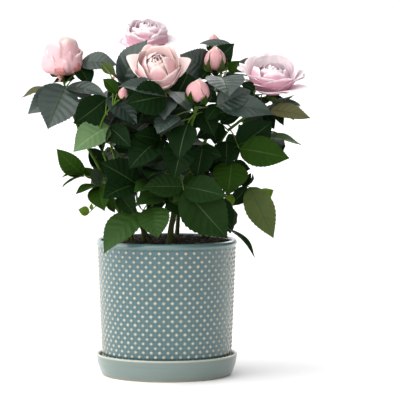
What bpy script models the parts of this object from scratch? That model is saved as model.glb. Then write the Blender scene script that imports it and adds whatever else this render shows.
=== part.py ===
"""Potted miniature rose in a dotted cover pot on its saucer.

The origin is the centre of the saucer's flat underside, +Z is up and the front of the plant is
at -Y. Sizes below are in millimetres and are made metres by MM.
"""
import math
import random

import bmesh
import bpy
from mathutils import Matrix, Vector
from mathutils.bvhtree import BVHTree

MM = 0.001

# Clearance between pieces that touch on the real plant and pot
GAP = 0.3

# Saucer: a turned dish
SAUCER_FOOT_RADIUS = 62.5
SAUCER_BASE_RADIUS = 64.8
SAUCER_RIM_RADIUS = 70.5
SAUCER_HEIGHT = 22.0
SAUCER_WALL = 3.0
SAUCER_FLOOR = 4.5

# Cover pot: a turned shell with a plain lip
POT_RIM_RADIUS = 70.3
POT_TOP_RADIUS = 68.4
POT_FOOT_RADIUS = 63.0
POT_RIM_HEIGHT = 136.0
POT_LIP_HEIGHT = 10.5
POT_WALL = 4.6
POT_FLOOR = 6.0

# Potting soil, slightly domed
SOIL_EDGE_HEIGHT = 132.0
SOIL_TOP_HEIGHT = 134.6

TURN_STEPS = 36
SHARP_ANGLE = math.radians(35)

# The crown was measured from in front: a point given as (across, height, depth) is the place
# that covers (across, height) on the plane of the pot's axis, seen from this eye point, and lies
# at depth behind that plane
EYE_ACROSS = 33.2
EYE_DISTANCE = 2800.0
EYE_HEIGHT = 375.4


def seen(across, height, depth):
    scale = (EYE_DISTANCE + depth) / EYE_DISTANCE
    x = EYE_ACROSS + (across - EYE_ACROSS) * scale
    z = EYE_HEIGHT + (height - EYE_HEIGHT) * scale
    return Vector((x, depth, z))


def front_view(point):
    """Where a point appears on the plane of the pot's axis, from the eye point."""
    scale = EYE_DISTANCE / (EYE_DISTANCE + point.y)
    across = EYE_ACROSS + (point.x - EYE_ACROSS) * scale
    height = EYE_HEIGHT + (point.z - EYE_HEIGHT) * scale
    return across, height


# Limbs, each as its route in (across, height, depth), its radius at foot and tip, and whether it
# stands in the soil or on the trunk
LIMBS = {
    "trunk": (((3.5, 134.9, -42), (5.5, 150, -41), (8, 170, -37), (9, 189, -33)), 3.2, 2.7, "soil"),
    "cane_left": (((-37, 134.9, -18), (-43, 148, -19), (-50, 164, -20), (-58, 186, -21),
                   (-67, 207, -22), (-80, 229, -24)), 2.3, 1.5, "soil"),
    "cane_left_front": (((-22, 134.9, -34), (-34, 160, -38), (-49, 190, -46), (-60, 213, -54)),
                        2.0, 1.4, "soil"),
    "cane_low_left": (((-34, 134.9, -27), (-46, 160, -28), (-52, 176, -29)), 1.3, 1.0, "soil"),
    "cane_centre": (((9, 187, -33), (8, 215, -31), (4, 245, -36)), 2.5, 1.9, "trunk"),
    "cane_top": (((9, 182, -31), (2, 205, -14), (-8, 235, -1), (-14, 262, 5)), 2.2, 1.7, "trunk"),
    "cane_right": (((9, 184, -32), (32, 205, -27), (50, 228, -25), (60, 243, -26)),
                   2.2, 1.7, "trunk"),
    "cane_front": (((9, 186, -34), (15, 210, -46), (21, 235, -58), (26, 254, -66)),
                   2.0, 1.6, "trunk"),
    "cane_upper_right": (((9, 178, -33), (26, 205, -8), (41, 240, 4), (48, 262, 6)),
                         2.2, 1.6, "trunk"),
    "cane_back_left": (((-20, 134.9, 20), (-26, 150, 26), (-32, 166, 32)), 2.3, 1.9, "soil"),
    "cane_back": (((10, 134.9, 34), (11, 150, 40), (12, 166, 45)), 2.4, 2.0, "soil"),
    "cane_back_right": (((36, 134.9, 14), (43, 150, 20), (49, 166, 26)), 2.3, 1.9, "soil"),
}

# Stations along a stem, how much wider a limb is where it enters the soil, and the height over
# which its lowest ring is brought level
STEM_STATIONS = 6
ROOT_FLARE = 1.3
FOOT_BAND = 3.0

# Leafy shoots, the masses of foliage: the stem's route from the limb it stands on, its radius at
# foot and tip, the space it keeps to as centre and half sizes, and how many leaves the rule adds
SHOOTS = {
    "leaves_left": (((-80, 229, -24), (-90, 252, -27), (-98, 275, -28), (-102, 292, -25)),
                    1.4, 1.1, ((-86, 10, 258), (60, 66, 62)), 4),
    "leaves_left_front": (((-60, 213, -54), (-67, 237, -62), (-62, 258, -68), (-49, 273, -74)),
                          1.3, 0.8, ((-56, -52, 240), (52, 54, 64)), 7),
    "leaves_low_left": (((-52, 176, -29), (-60, 187, -34), (-70, 194, -40)),
                        0.9, 0.7, ((-62, -24, 188), (54, 56, 50)), 5),
    "leaves_low_front": (((7, 174, -37), (-4, 177, -45), (-16, 174, -53)),
                         1.1, 0.8, ((-20, -50, 180), (60, 54, 58)), 3),
    "leaves_low_centre": (((9, 180, -35), (8, 196, -48), (13, 212, -58)),
                          1.2, 0.9, ((14, -56, 205), (62, 54, 66)), 7),
    "leaves_low_right": (((9, 166, -38), (28, 171, -39), (50, 177, -40), (68, 184, -41)),
                         1.2, 0.8, ((60, -20, 182), (60, 64, 56)), 5),
    "leaves_centre": (((4, 245, -36), (-2, 268, -42), (-7, 288, -42)),
                      1.8, 1.4, ((-12, -40, 258), (60, 64, 66)), 9),
    "leaves_top": (((-14, 262, 5), (-19, 290, 12), (-21, 311, 18)),
                   1.6, 1.2, ((-22, 26, 270), (60, 66, 66)), 6),
    "leaves_front": (((26, 254, -66), (28, 260, -70), (29, 266, -73)),
                     1.5, 1.7, ((32, -62, 240), (60, 54, 60)), 9),
    "leaves_right": (((60, 243, -26), (78, 257, -25), (94, 268, -23), (101, 275, -18)),
                     1.5, 1.3, ((86, 2, 248), (60, 70, 54)), 6),
    "leaves_upper_right": (((48, 262, 6), (52, 284, 2), (50, 299, -10)),
                           1.5, 1.2, ((44, 24, 276), (56, 66, 60)), 7),
    "leaves_back_left": (((-32, 166, 32), (-44, 196, 44), (-56, 232, 56), (-62, 268, 56)),
                         1.8, 0.9, ((-52, 60, 222), (80, 76, 90)), 7),
    "leaves_back": (((12, 166, 45), (12, 198, 58), (9, 236, 70), (4, 280, 68)),
                    1.9, 0.9, ((8, 72, 232), (76, 76, 94)), 8),
    "leaves_back_right": (((49, 166, 26), (62, 196, 38), (74, 230, 48), (80, 262, 48)),
                          1.8, 0.9, ((70, 52, 220), (76, 76, 86)), 7),
}

# Which way a blade's upper side looks
FACES = {
    "up": (0.0, -0.22, 1.0),
    "half": (0.0, -0.75, 0.66),
    "front": (0.0, -1.0, 0.2),
    "under": (0.1, 0.8, 0.6),
    "left": (-0.9, -0.3, 0.35),
    "right": (0.9, -0.3, 0.35),
    "out_left": (-0.45, -0.75, 0.5),
    "out_right": (0.45, -0.75, 0.5),
}

# Leaves that show in front, by shoot: the share of the stem's length where the leaf springs, its
# knot, where the blades meet, and its blades, the end one first. Each blade is its tip, which
# way it faces, and its width as a share of its length
LEAVES = {
    "leaves_left": (
        (0.78, (-100, 288, -38), ((-118, 246, -60, "front", 0.84), (-138, 261.5, -48, "half", 0.55),
                                  (-60, 281, -62, "up", 0.6))),
        (0.62, (-113, 284, 0), ((-144, 279, -10, "up", 0.55), (-106, 262, 36, "up", 0.6))),
        (0.97, (-86, 311, -24), ((-49.5, 310, -34, "half", 0.62), (-76, 288.5, -44, "front", 0.8),
                                 (-72, 295, -8, "front", 0.6))),
        (0.03, (-76, 226, -12), ((-58, 199, -8, "front", 0.55),)),
    ),
    "leaves_left_front": (
        (0.72, (-59, 280, -90), ((-29, 251.5, -100, "half", 0.85), (-92, 250, -84, "front", 0.75),
                                 (-30, 286, -60, "half", 0.6))),
        (0.48, (-56, 248.5, -62), ((-93, 223.7, -84, "half", 0.72), (-65, 222, -70, "left", 0.5),
                                   (-36, 228, -84, "half", 0.6))),
        (0.93, (-49, 281, -72), ((-62.7, 295.7, -68, "half", 0.7),)),
        (0.8, (-68, 308, -44), ((-51, 295, -56, "front", 0.5),)),
        (0.2, (-88, 268, -70), ((-62, 262, -84, "half", 0.6),)),
        (0.3, (-52, 228, -50), ((-32, 225, -56, "front", 0.6),)),
    ),
    "leaves_low_left": (
        (0.95, (-84, 199, -40), ((-104, 199.5, -54, "up", 0.35), (-109.7, 224.7, -46, "front", 0.55),
                                 (-104, 188, -58, "up", 0.4))),
        (0.6, (-68, 189, -46), ((-90.7, 183, -62, "up", 0.6), (-63, 165, -68, "half", 0.75),
                                (-72, 208, -54, "under", 0.6))),
        (0.15, (-77, 162, -34), ((-88, 165, -36, "front", 0.85), (-75, 171, -35, "front", 0.6))),
        (0.35, (-47, 181, -48), ((-32, 160, -60, "front", 0.72),)),
    ),
    "leaves_low_front": (
        (0.95, (-24.7, 162, -58), ((-64.7, 125.7, -76, "out_left", 0.66),
                                   (-31, 181, -68, "left", 0.4))),
        (0.7, (-15, 168, -60), ((-9, 137, -76, "front", 0.86),)),
         (0.3, (0, 180, -40), ((-21, 164, -38, "front", 0.6),)),
        (0.55, (-31, 190, -60), ((-63, 177, -88, "half", 0.75), (-66, 212, -72, "half", 0.7))),
    ),
    "leaves_low_centre": (
        (0.85, (17, 184.5, -80), ((60.5, 136.5, -92, "front", 0.72), (-23.7, 187.5, -82, "half", 0.6),
                                  (59.3, 178.5, -86, "half", 0.62))),
        (0.97, (18, 236, -78), ((7, 196, -92, "half", 0.75),)),
        (0.92, (36, 228, -62), ((30, 196, -74, "front", 0.75), (55, 218, -66, "front", 0.7))),
        (0.5, (-6, 236, -66), ((-38, 207, -88, "half", 0.7), (-31, 240, -88, "half", 0.6))),
    ),
    "leaves_low_right": (
        (0.97, (82, 188, -44), ((106.5, 136.5, -62, "front", 0.62), (86.5, 200, -50, "right", 0.5),
                                (63, 168, -46, "front", 0.6))),
        (0.8, (88, 174, -22), ((107, 185, -16, "front", 0.6), (110, 165, -12, "front", 0.6))),
        (0.5, (44, 178, -54), ((65.5, 146, -68, "half", 0.6),)),
        (0.35, (62, 146, -46), ((89.3, 117.7, -52, "right", 0.35),)),
        (0.62, (65, 213, -44), ((61, 180, -62, "front", 0.96), (36, 206, -60, "half", 0.6),
                                (84, 206, -56, "half", 0.6))),
        (0.75, (60, 234, -32), ((59, 208, -46, "front", 0.85), (70, 239, -16, "front", 0.8))),
        (0.6, (54, 204, -46), ((44, 186, -58, "front", 0.8),)),
    ),
    "leaves_centre": (
        (0.72, (0, 278, -90), ((-39, 271, -106, "front", 0.85), (-46, 291.5, -100, "up", 0.6))),
        (0.8, (22, 301, -20), ((3.3, 264.7, -58, "front", 0.62),)),
        (0.5, (-46, 288, -18), ((-21.7, 334.4, -26, "out_left", 0.6), (-69, 309, -52, "up", 0.5))),
    ),
    "leaves_front": (
        (0.7, (10, 259, -84), ((-10, 243, -102, "up", 0.9),)),
        (0.35, (36, 262, -60), ((47, 239, -76, "front", 0.75), (17, 246, -70, "front", 0.7),
                                (62, 262, -62, "front", 0.7))),
        (0.95, (53, 268, -70), ((106, 263.5, -72, "half", 0.55), (39, 254, -84, "half", 0.6),
                                (84, 284, -62, "half", 0.65))),
    ),
    "leaves_right": (
        (0.05, (72, 230, -46), ((120.8, 217.3, -64, "front", 0.62), (105, 252, -62, "front", 0.85),
                                (66, 226, -36, "half", 0.6))),
        (0.3, (96, 237, -16), ((133.8, 230.5, -22, "up", 0.55), (112, 214, 8, "up", 0.6))),
        (0.85, (102, 264, -34), ((142.9, 257, -48, "half", 0.45), (136, 271, -2, "half", 0.35),
                                 (117, 250, -40, "half", 0.7))),
        (0.01, (51, 252, -30), ((48, 230, -34, "front", 0.8), (30, 236, -40, "front", 0.6))),
    ),
    "leaves_upper_right": (
        (0.85, (55, 297, -50), ((62, 281.7, -92, "up", 0.85),)),
        (0.55, (42, 303, 0), ((14.6, 319, -12, "front", 0.95), (66, 331, -2, "front", 0.7))),
        (0.75, (66, 327, 6), ((32.5, 332, 5, "half", 0.3),)),
        (0.95, (62, 302, -14), ((72, 313, -18, "front", 0.8),)),
    ),
}

# Sky that shows through and around the crown from the front, as (left, right, low, high) across
# and height, which the leaves of the rule leave open
SKY_GAPS = (
    (9, 21, 142, 159), (-28, -19, 139, 147), (21, 29, 139, 144), (-54, -43, 168, 176),
    (25, 32, 238, 243), (39, 48, 230, 238), (54, 67, 243, 251), (63, 73, 248, 257),
    (55, 65, 228, 235), (70, 76, 220, 226), (77, 83, 203, 209),
    (-78, -68, 228, 238), (-104, -62, 290, 300), (-88, -48, 304, 420), (-70, -56, 282, 306),
    (54, 60, 171, 185), (64, 78, 170, 190),
    (-250, -112, 0, 243), (-250, -93, 0, 183), (-250, -68, 0, 162), (-250, -107, 288, 450),
    (-250, -144, 0, 450), (110, 250, 0, 213), (123, 250, 0, 225), (92, 250, 0, 160),
    (66, 250, 327, 450), (12, 33, 326, 450), (143, 250, 0, 450),
    (-250, -90, 224, 256), (-90, -72, 205, 232), (106, 250, 236, 253), (86, 110, 192, 211),
    (66, 84, 128, 168),
)

# Compound leaf proportions
GOLDEN_ANGLE = math.radians(137.5)
RULE_STALK = (17.0, 32.0)
RULE_BLADE = (38.0, 52.0)
RULE_LIFT = (-25.0, 42.0)
RULE_DROOP = (-0.8, -0.05)
RULE_LEAN = 0.9
LEAST_BLADES = 3
RULE_TRIES = 60
RULE_WIDTH = 0.7
SIDE_SHARE = 0.86
LOWER_SHARE = 0.68
SIDE_ANGLE = math.radians(66)
LOWER_ANGLE = math.radians(78)
SHOWN_PAIR_AT = 0.88
SIDE_PAIR_AT = 0.66
LOWER_PAIR_AT = 0.34
SIDE_TUCK = math.radians(20)
BLADE_ARCH = 0.07
BLADE_KEEL = 0.026
STALK_RADIUS = 0.75
TRIM_STEP = 0.1
SWING_STEP = 5.0
SWING_TRIES = 6
CLEAR_LEAF = 0.35

# Vertices nearer than this are one, in metres: at a tube's caps, and in a fused body
WELD_DISTANCE = 0.00002
FINE_WELD = 0.000002

# A fused body that keeps less of its pieces' volume than this has lost some of them
WHOLE_SHARE = 0.7

PETAL_ROWS = 16
PETAL_ROOT = 0.2
PETAL_THICKNESS = 1.0

# How far a bloom's heart and a bud are drawn out to a point, 0 for a round egg
HEART_POINT = 0.2
BUD_POINT = 0.72

# Blooms: where the bloom meets its twig, the way it looks, its heart's radius and height, its
# outer petals, the shoot that its twig stands on and the twig's radius. A petal is its bearing
# round the bloom's axis in degrees (270 is the front), how far it has opened (0 upright to 1
# flat), its reach from the axis, its rise above the bloom's foot, and its width
BLOOMS = {
    "bloom_left": ((-103.0, 298.5, -20), (-0.04, -0.08, 1.0), 14.0, 35.0, (
        (195, 0.08, 20.0, 39.0, 36), (335, 0.06, 19.5, 39.5, 38), (265, 0.05, 20.0, 35.0, 36),
        (85, 0.0, 19.0, 37.0, 36)), "leaves_left", 1.2),
    "bloom_top": ((-19.5, 320.5, 22), (0.02, -0.34, 0.94), 17.0, 29.5, (
        (188, 0.95, 29.0, 14.0, 34), (352, 0.85, 28.5, 18.0, 34), (270, 0.62, 26.0, 19.0, 40),
        (228, 0.3, 22.0, 27.0, 36), (310, 0.35, 22.5, 26.0, 34), (45, 0.25, 20.0, 30.0, 36),
        (120, 0.25, 20.0, 30.5, 36)), "leaves_top", 1.3),
    "bloom_centre": ((-7.5, 293.0, -46), (-0.03, -0.55, 0.83), 17.5, 27.0, (
        (178, 0.75, 30.0, 24.0, 32), (352, 0.7, 29.0, 22.0, 32), (292, 0.62, 29.0, 22.0, 38),
        (232, 0.45, 26.0, 27.0, 40), (135, 0.2, 21.0, 28.5, 36), (40, 0.3, 20.0, 26.0, 36)),
                     "leaves_centre", 1.4),
    "bloom_right": ((103.5, 279.5, -14), (0.05, -0.40, 0.91), 22.0, 31.0, (
        (270, 0.95, 33.0, 17.0, 44), (215, 0.9, 35.0, 18.0, 42), (325, 0.9, 37.0, 18.0, 42),
        (180, 0.8, 35.0, 22.0, 42), (0, 0.8, 36.5, 20.0, 42), (135, 0.45, 29.0, 33.0, 42),
        (45, 0.45, 28.0, 30.0, 42), (90, 0.3, 25.0, 36.5, 42)), "leaves_right", 1.5),
}

# Buds: the same, with the sepals that hold them in place of petals
BUDS = {
    "bud_middle": ((48.5, 301.5, -16), (0.0, -0.08, 1.0), 11.5, 28.0, 5, "leaves_upper_right", 1.2),
    "bud_front": ((30.5, 271.0, -76), (0.10, -0.15, 1.0), 12.6, 26.0, 5, "leaves_front", 1.8),
    "bud_small": ((-44.0, 274.5, -78), (0.12, -0.2, 1.0), 5.2, 13.5, 4, "leaves_left_front", 0.8),
    "bud_upper": ((47.0, 322.0, 16), (0.0, 0.0, 1.0), 7.0, 19.5, 5, "leaves_upper_right", 1.0),
}

# The upper bud's twig leaves its shoot's side here and rises behind the leaves
UPPER_BUD_ROUTE = ((53, 281, 6), (54, 300, 16), (49, 314, 17))

COLOURS = {
    "saucer": ((0.36, 0.44, 0.40), 0.25),
    "pot": ((0.20, 0.34, 0.38), 0.25),
    "soil": ((0.035, 0.026, 0.018), 0.95),
    "limb": ((0.10, 0.16, 0.035), 0.55),
    "leaf": ((0.035, 0.09, 0.035), 0.45),
    "leaf_low": ((0.05, 0.13, 0.045), 0.45),
    "petal": ((0.86, 0.56, 0.58), 0.5),
    "bud": ((0.80, 0.42, 0.34), 0.5),
}


def clear_scene():
    for obj in list(bpy.data.objects):
        bpy.data.objects.remove(obj, do_unlink=True)


def make_collection(name):
    collection = bpy.data.collections.new(name)
    bpy.context.scene.collection.children.link(collection)
    return collection


def finish(name, colour):
    """A material for one sub-part."""
    rgb, roughness = COLOURS[colour]
    material = bpy.data.materials.new(name + "_finish")
    material.use_nodes = True
    shader = material.node_tree.nodes["Principled BSDF"]
    shader.inputs["Base Color"].default_value = (*rgb, 1.0)
    shader.inputs["Roughness"].default_value = roughness
    shader.inputs["Metallic"].default_value = 0.0
    return material


def add_object(name, mesh, colour, collection):
    mesh.shade_smooth()
    mesh.set_sharp_from_angle(angle=SHARP_ANGLE)
    obj = bpy.data.objects.new(name, mesh)
    obj.data.materials.append(finish(name, colour))
    collection.objects.link(obj)
    return obj


def turned(name, profile, colour, collection):
    """A piece turned from an outline of (radius, height) that runs down its outer side."""
    mesh = bpy.data.meshes.new(name)
    points = [(radius * MM, 0.0, height * MM) for radius, height in profile]
    edges = [(i, i + 1) for i in range(len(points) - 1)]
    mesh.from_pydata(points, edges, [])
    obj = add_object(name, mesh, colour, collection)
    screw = obj.modifiers.new("turn", "SCREW")
    screw.axis = "Z"
    screw.steps = TURN_STEPS
    screw.render_steps = TURN_STEPS
    screw.use_merge_vertices = True
    screw.merge_threshold = 0.00005
    screw.use_smooth_shade = True
    return obj


def make_saucer(collection):
    wall_foot = SAUCER_BASE_RADIUS - SAUCER_WALL
    profile = (
        (0.0, SAUCER_FLOOR),
        (wall_foot + 0.6, SAUCER_FLOOR),
        (wall_foot + 2.0, SAUCER_FLOOR + 1.5),
        (SAUCER_RIM_RADIUS - SAUCER_WALL, SAUCER_HEIGHT - 0.9),
        (SAUCER_RIM_RADIUS - SAUCER_WALL * 0.5, SAUCER_HEIGHT),
        (SAUCER_RIM_RADIUS, SAUCER_HEIGHT - 1.2),
        (SAUCER_RIM_RADIUS - 1.6, SAUCER_HEIGHT * 0.55),
        (SAUCER_BASE_RADIUS, 1.6),
        (SAUCER_FOOT_RADIUS, 0.0),
        (0.0, 0.0),
    )
    return turned("saucer", profile, "saucer", collection)


def pot_radius(height):
    """Outer radius of the pot's wall below its lip."""
    foot = SAUCER_FLOOR + GAP
    share = (height - foot) / (POT_RIM_HEIGHT - POT_LIP_HEIGHT - foot)
    return POT_FOOT_RADIUS + (POT_TOP_RADIUS - POT_FOOT_RADIUS) * share ** 0.85


def make_pot(collection):
    foot = SAUCER_FLOOR + GAP
    lip_foot = POT_RIM_HEIGHT - POT_LIP_HEIGHT
    inner_floor = foot + POT_FLOOR
    outer = [(pot_radius(height), height) for height in (lip_foot - 0.4, 95.0, 60.0, 30.0, 9.0)]
    profile = [
        (0.0, inner_floor),
        (pot_radius(inner_floor) - POT_WALL, inner_floor),
        (pot_radius(95.0) - POT_WALL, 95.0),
        (POT_RIM_RADIUS - POT_WALL, POT_RIM_HEIGHT - 1.2),
        (POT_RIM_RADIUS - POT_WALL * 0.5, POT_RIM_HEIGHT),
        (POT_RIM_RADIUS - 0.5, POT_RIM_HEIGHT - 1.4),
        (POT_RIM_RADIUS, POT_RIM_HEIGHT - 5.0),
        (POT_RIM_RADIUS - 0.5, lip_foot + 1.0),
    ]
    profile += outer
    profile += [(POT_FOOT_RADIUS - 1.6, foot), (0.0, foot)]
    return turned("pot", profile, "pot", collection)


def make_soil(collection):
    foot = SAUCER_FLOOR + GAP + POT_FLOOR + GAP
    top_radius = POT_RIM_RADIUS - POT_WALL - 1.2
    profile = (
        (0.0, SOIL_TOP_HEIGHT),
        (top_radius * 0.75, SOIL_TOP_HEIGHT),
        (top_radius - 1.5, SOIL_EDGE_HEIGHT + 0.5),
        (pot_radius(125.0) - POT_WALL - GAP - 0.4, 125.0),
        (pot_radius(95.0) - POT_WALL - GAP - 0.4, 95.0),
        (pot_radius(foot) - POT_WALL - GAP - 0.4, foot),
        (0.0, foot),
    )
    return turned("soil", profile, "soil", collection)


def smooth_route(points, count):
    """Points at even shares along a smooth curve through the given ones."""
    knots = [points[0] * 2 - points[1], *points, points[-1] * 2 - points[-2]]
    dense = []
    steps = 12
    for i in range(1, len(knots) - 2):
        before, start, end, after = knots[i - 1:i + 3]
        for step in range(steps):
            t = step / steps
            dense.append(0.5 * (2 * start + (end - before) * t
                                + (2 * before - 5 * start + 4 * end - after) * t ** 2
                                + (3 * start - before - 3 * end + after) * t ** 3))
    dense.append(points[-1].copy())
    return [point_along(dense, i / (count - 1)) for i in range(count)]


def point_along(route, share):
    """The point at a share of a route's length."""
    lengths = [(b - a).length for a, b in zip(route, route[1:])]
    left = share * sum(lengths)
    for start, end, length in zip(route, route[1:], lengths):
        if left <= length:
            return start.lerp(end, left / length)
        left -= length
    return route[-1].copy()


def tube_mesh(name, route, radii, resolution):
    """A closed mesh tube along a route, from a bevelled curve with filled caps."""
    curve = bpy.data.curves.new(name, "CURVE")
    curve.dimensions = "3D"
    curve.bevel_depth = MM
    curve.bevel_resolution = resolution
    curve.use_fill_caps = True
    curve.twist_mode = "MINIMUM"
    spline = curve.splines.new("POLY")
    spline.points.add(len(route) - 1)
    for point, place, radius in zip(spline.points, route, radii):
        point.co = (*(place * MM), 1.0)
        point.radius = radius
    guide = bpy.data.objects.new(name, curve)
    bpy.context.scene.collection.objects.link(guide)
    evaluated = guide.evaluated_get(bpy.context.evaluated_depsgraph_get())
    mesh = bpy.data.meshes.new_from_object(evaluated)
    bpy.data.objects.remove(guide, do_unlink=True)
    bpy.data.curves.remove(curve)
    shape = bmesh.new()
    shape.from_mesh(mesh)
    bmesh.ops.remove_doubles(shape, verts=shape.verts, dist=WELD_DISTANCE)
    bmesh.ops.recalc_face_normals(shape, faces=shape.faces)
    shape.to_mesh(mesh)
    shape.free()
    return mesh


def taper(first, last, count):
    return [first + (last - first) * i / (count - 1) for i in range(count)]


def blade_frame(base, tip, face):
    """The blade's length direction, upper side and width direction."""
    along = (tip - base).normalized()
    upper = Vector(face)
    upper = upper - along * upper.dot(along)
    if upper.length < 0.2:
        upper = along.orthogonal()
    upper.normalize()
    return along, upper, along.cross(upper)


# Where along its stem each try for a leaf of the rule starts: the steps spread evenly from the top
TRY_SHARE_TOP = 0.98
TRY_SHARE_SPAN = 0.86
TRY_SHARE_STEP = 0.618

# Share of the blade's length, and of its half width, at each station of a blade that shows in
# front and of one that the rule adds
BLADE_STATIONS = ((0.18, 0.74), (0.46, 1.0), (0.78, 0.66))
RULE_STATIONS = ((0.27, 0.94), (0.67, 0.84))


def blade_rings(base, tip, face, width, stations, thicker=0.0):
    """The blade's three-point sections: one edge, the keel below, the other edge."""
    along, upper, across = blade_frame(base, tip, face)
    length = (tip - base).length
    rings = []
    for share, half_share in stations:
        half = half_share * width * length / 2 + thicker
        centre = base + along * (share * length)
        centre += upper * (BLADE_ARCH * length * 4 * share * (1 - share) + thicker)
        keel = centre - upper * (BLADE_KEEL * length + thicker * 2)
        rings.append((centre + across * half, keel, centre - across * half))
    return rings


def root_ring(base, along, upper, radius):
    """A small three-sided section where a blade or stalk begins."""
    across = along.cross(upper) * (radius * math.sin(math.pi / 3))
    raised = base + upper * (radius * math.cos(math.pi / 3))
    return (raised + across, base - upper * radius, raised - across)


def loft(rings, tip):
    """A closed body: a triangle extruded from section to section and drawn to a point."""
    shape = bmesh.new()
    start = bmesh.ops.create_circle(shape, cap_ends=True, segments=3, radius=1.0)["verts"]
    for vert, point in zip(start, rings[0]):
        vert.co = point * MM
    shape.faces.ensure_lookup_table()
    end = shape.faces[0]
    for before, after in zip(rings, rings[1:]):
        grown = bmesh.ops.extrude_face_region(shape, geom=[end])["geom"]
        if before is not rings[0]:
            bmesh.ops.delete(shape, geom=[end], context="FACES_ONLY")
        end = [item for item in grown if isinstance(item, bmesh.types.BMFace)][0]
        for vert in end.verts:
            corner = min(range(3), key=lambda i: (before[i] * MM - vert.co).length)
            vert.co = after[corner] * MM
    bmesh.ops.pointmerge(shape, verts=end.verts[:], merge_co=tip * MM)
    bmesh.ops.recalc_face_normals(shape, faces=shape.faces)
    if shape.calc_volume(signed=True) < 0:
        bmesh.ops.reverse_faces(shape, faces=shape.faces)
    return shape


def blade_shape(base, tip, face, width, stations, thicker=0.0):
    """One blade by itself, from its root to its tip."""
    along, upper, _ = blade_frame(base, tip, face)
    rings = [root_ring(base, along, upper, STALK_RADIUS + thicker)]
    rings += blade_rings(base, tip, face, width, stations, thicker)
    return loft(rings, tip)


def stalk_shape(route, tip, face, width, stations, thicker=0.0):
    """A leaf's stalk with its end blade grown on, as one body."""
    _, upper, _ = blade_frame(route[-1], tip, face)
    path = [*route, tip]
    rings = []
    for index in range(len(route) - 1, -1, -1):
        along = (path[index + 1] - path[index]).normalized()
        if index > 0:
            along += (path[index] - path[index - 1]).normalized()
            along.normalize()
        upper = (upper - along * upper.dot(along)).normalized()
        rings.insert(0, root_ring(path[index], along, upper, STALK_RADIUS + thicker))
    rings += blade_rings(route[-1], tip, face, width, stations, thicker)
    return loft(rings, tip)


def tree_of(shape):
    """A search tree of a bmesh, in metres."""
    return BVHTree.FromBMesh(shape)


def mesh_tree(mesh):
    shape = bmesh.new()
    shape.from_mesh(mesh)
    tree = tree_of(shape)
    shape.free()
    return tree


class Crown:
    """What already stands in the crown, for telling what a new piece would touch."""

    def __init__(self):
        self.pieces = []

    def add(self, key, tree):
        self.pieces.append((key, tree))

    def touched(self, tree, spare=()):
        """Whether a tree overlaps any piece but the spared ones."""
        return any(key not in spare and tree.overlap(other) for key, other in self.pieces)


def in_sky(tip, base):
    """Whether a blade would cover sky that shows through the crown."""
    for share in (0.25, 0.5, 0.75, 1.0):
        across, height = front_view(base.lerp(tip, share))
        for left, right, low, high in SKY_GAPS:
            margin = 5.0 if share < 0.9 else 1.0
            if left - margin < across < right + margin and low - margin < height < high + margin:
                return True
    return False


def in_space(point, space):
    centre, half = space
    offset = point - Vector(centre)
    return sum((offset[i] / half[i]) ** 2 for i in range(3)) <= 1.0


class Shoot:
    """One mass of foliage while it grows: its stem and what is fused to it."""

    def __init__(self, name, route, space):
        self.name = name
        self.route = route
        self.space = space
        self.meshes = []
        self.leaf_count = 0


def stalk_route(start, knot, bend):
    middle = (start + knot) / 2 + bend * (knot - start).length
    return [start, start.lerp(middle, 0.5).lerp(middle.lerp(knot, 0.5), 0.5), knot]


BENDS = (Vector((0, 0, 0.16)), Vector((0, -0.12, 0.05)), Vector((0, 0.16, 0.05)),
         Vector((0.2, 0, 0.0)), Vector((-0.2, 0, 0.0)), Vector((0, 0, -0.16)),
         Vector((0.2, -0.2, 0.2)), Vector((-0.2, -0.2, 0.2)), Vector((0, 0.3, 0.2)))


def swings(steps):
    """Offsets that move a blade's tip forward and back by growing steps."""
    yield 0.0
    for step in range(1, steps + 1):
        yield -SWING_STEP * step
        yield SWING_STEP * step


def swung(tip, offset):
    """The tip moved in depth, still in its place as seen from in front."""
    across, height = front_view(tip)
    return seen(across, height, tip.y + offset)


def grow_stalk(shoot, crown, share, knot, tip, face, width, stations, steps):
    """The stalk and end blade, bent and swung the first way that is clear of all but its stem."""
    start = point_along(shoot.route, share)
    for offset in swings(steps):
        place = swung(tip, offset)
        for bend in BENDS:
            route = stalk_route(start, knot, bend)
            trial = stalk_shape(route, place, face, width, stations, CLEAR_LEAF)
            blocked = crown.touched(tree_of(trial), (shoot.name,))
            trial.free()
            if not blocked:
                return route, stalk_shape(route, place, face, width, stations)
    return None, None


def tucked(base, tip, face, end_tip, side_down):
    """The blade's face turned so that its edge next to the end blade dips under that blade."""
    along, upper, across = blade_frame(base, tip, face)
    towards = across.dot(end_tip - base)
    return Matrix.Rotation(math.copysign(side_down, towards), 3, along) @ upper


def grow_side(crown, base, tip, face, width, stations, steps):
    """A side blade, swung in depth until it is clear, or None."""
    for offset in swings(steps):
        place = swung(tip, offset)
        trial = blade_shape(base, place, face, width, stations, CLEAR_LEAF)
        blocked = crown.touched(tree_of(trial))
        trial.free()
        if not blocked:
            return blade_shape(base, place, face, width, stations)
    return None


def keep_leaf(shoot, crown, shapes):
    """Adds a grown leaf to its shoot and to the crown."""
    key = shoot.name + "_leaf_" + str(shoot.leaf_count)
    for shape in shapes:
        mesh = bpy.data.meshes.new(key)
        shape.to_mesh(mesh)
        crown.add(key, tree_of(shape))
        shape.free()
        shoot.meshes.append(mesh)
    shoot.leaf_count += 1


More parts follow.
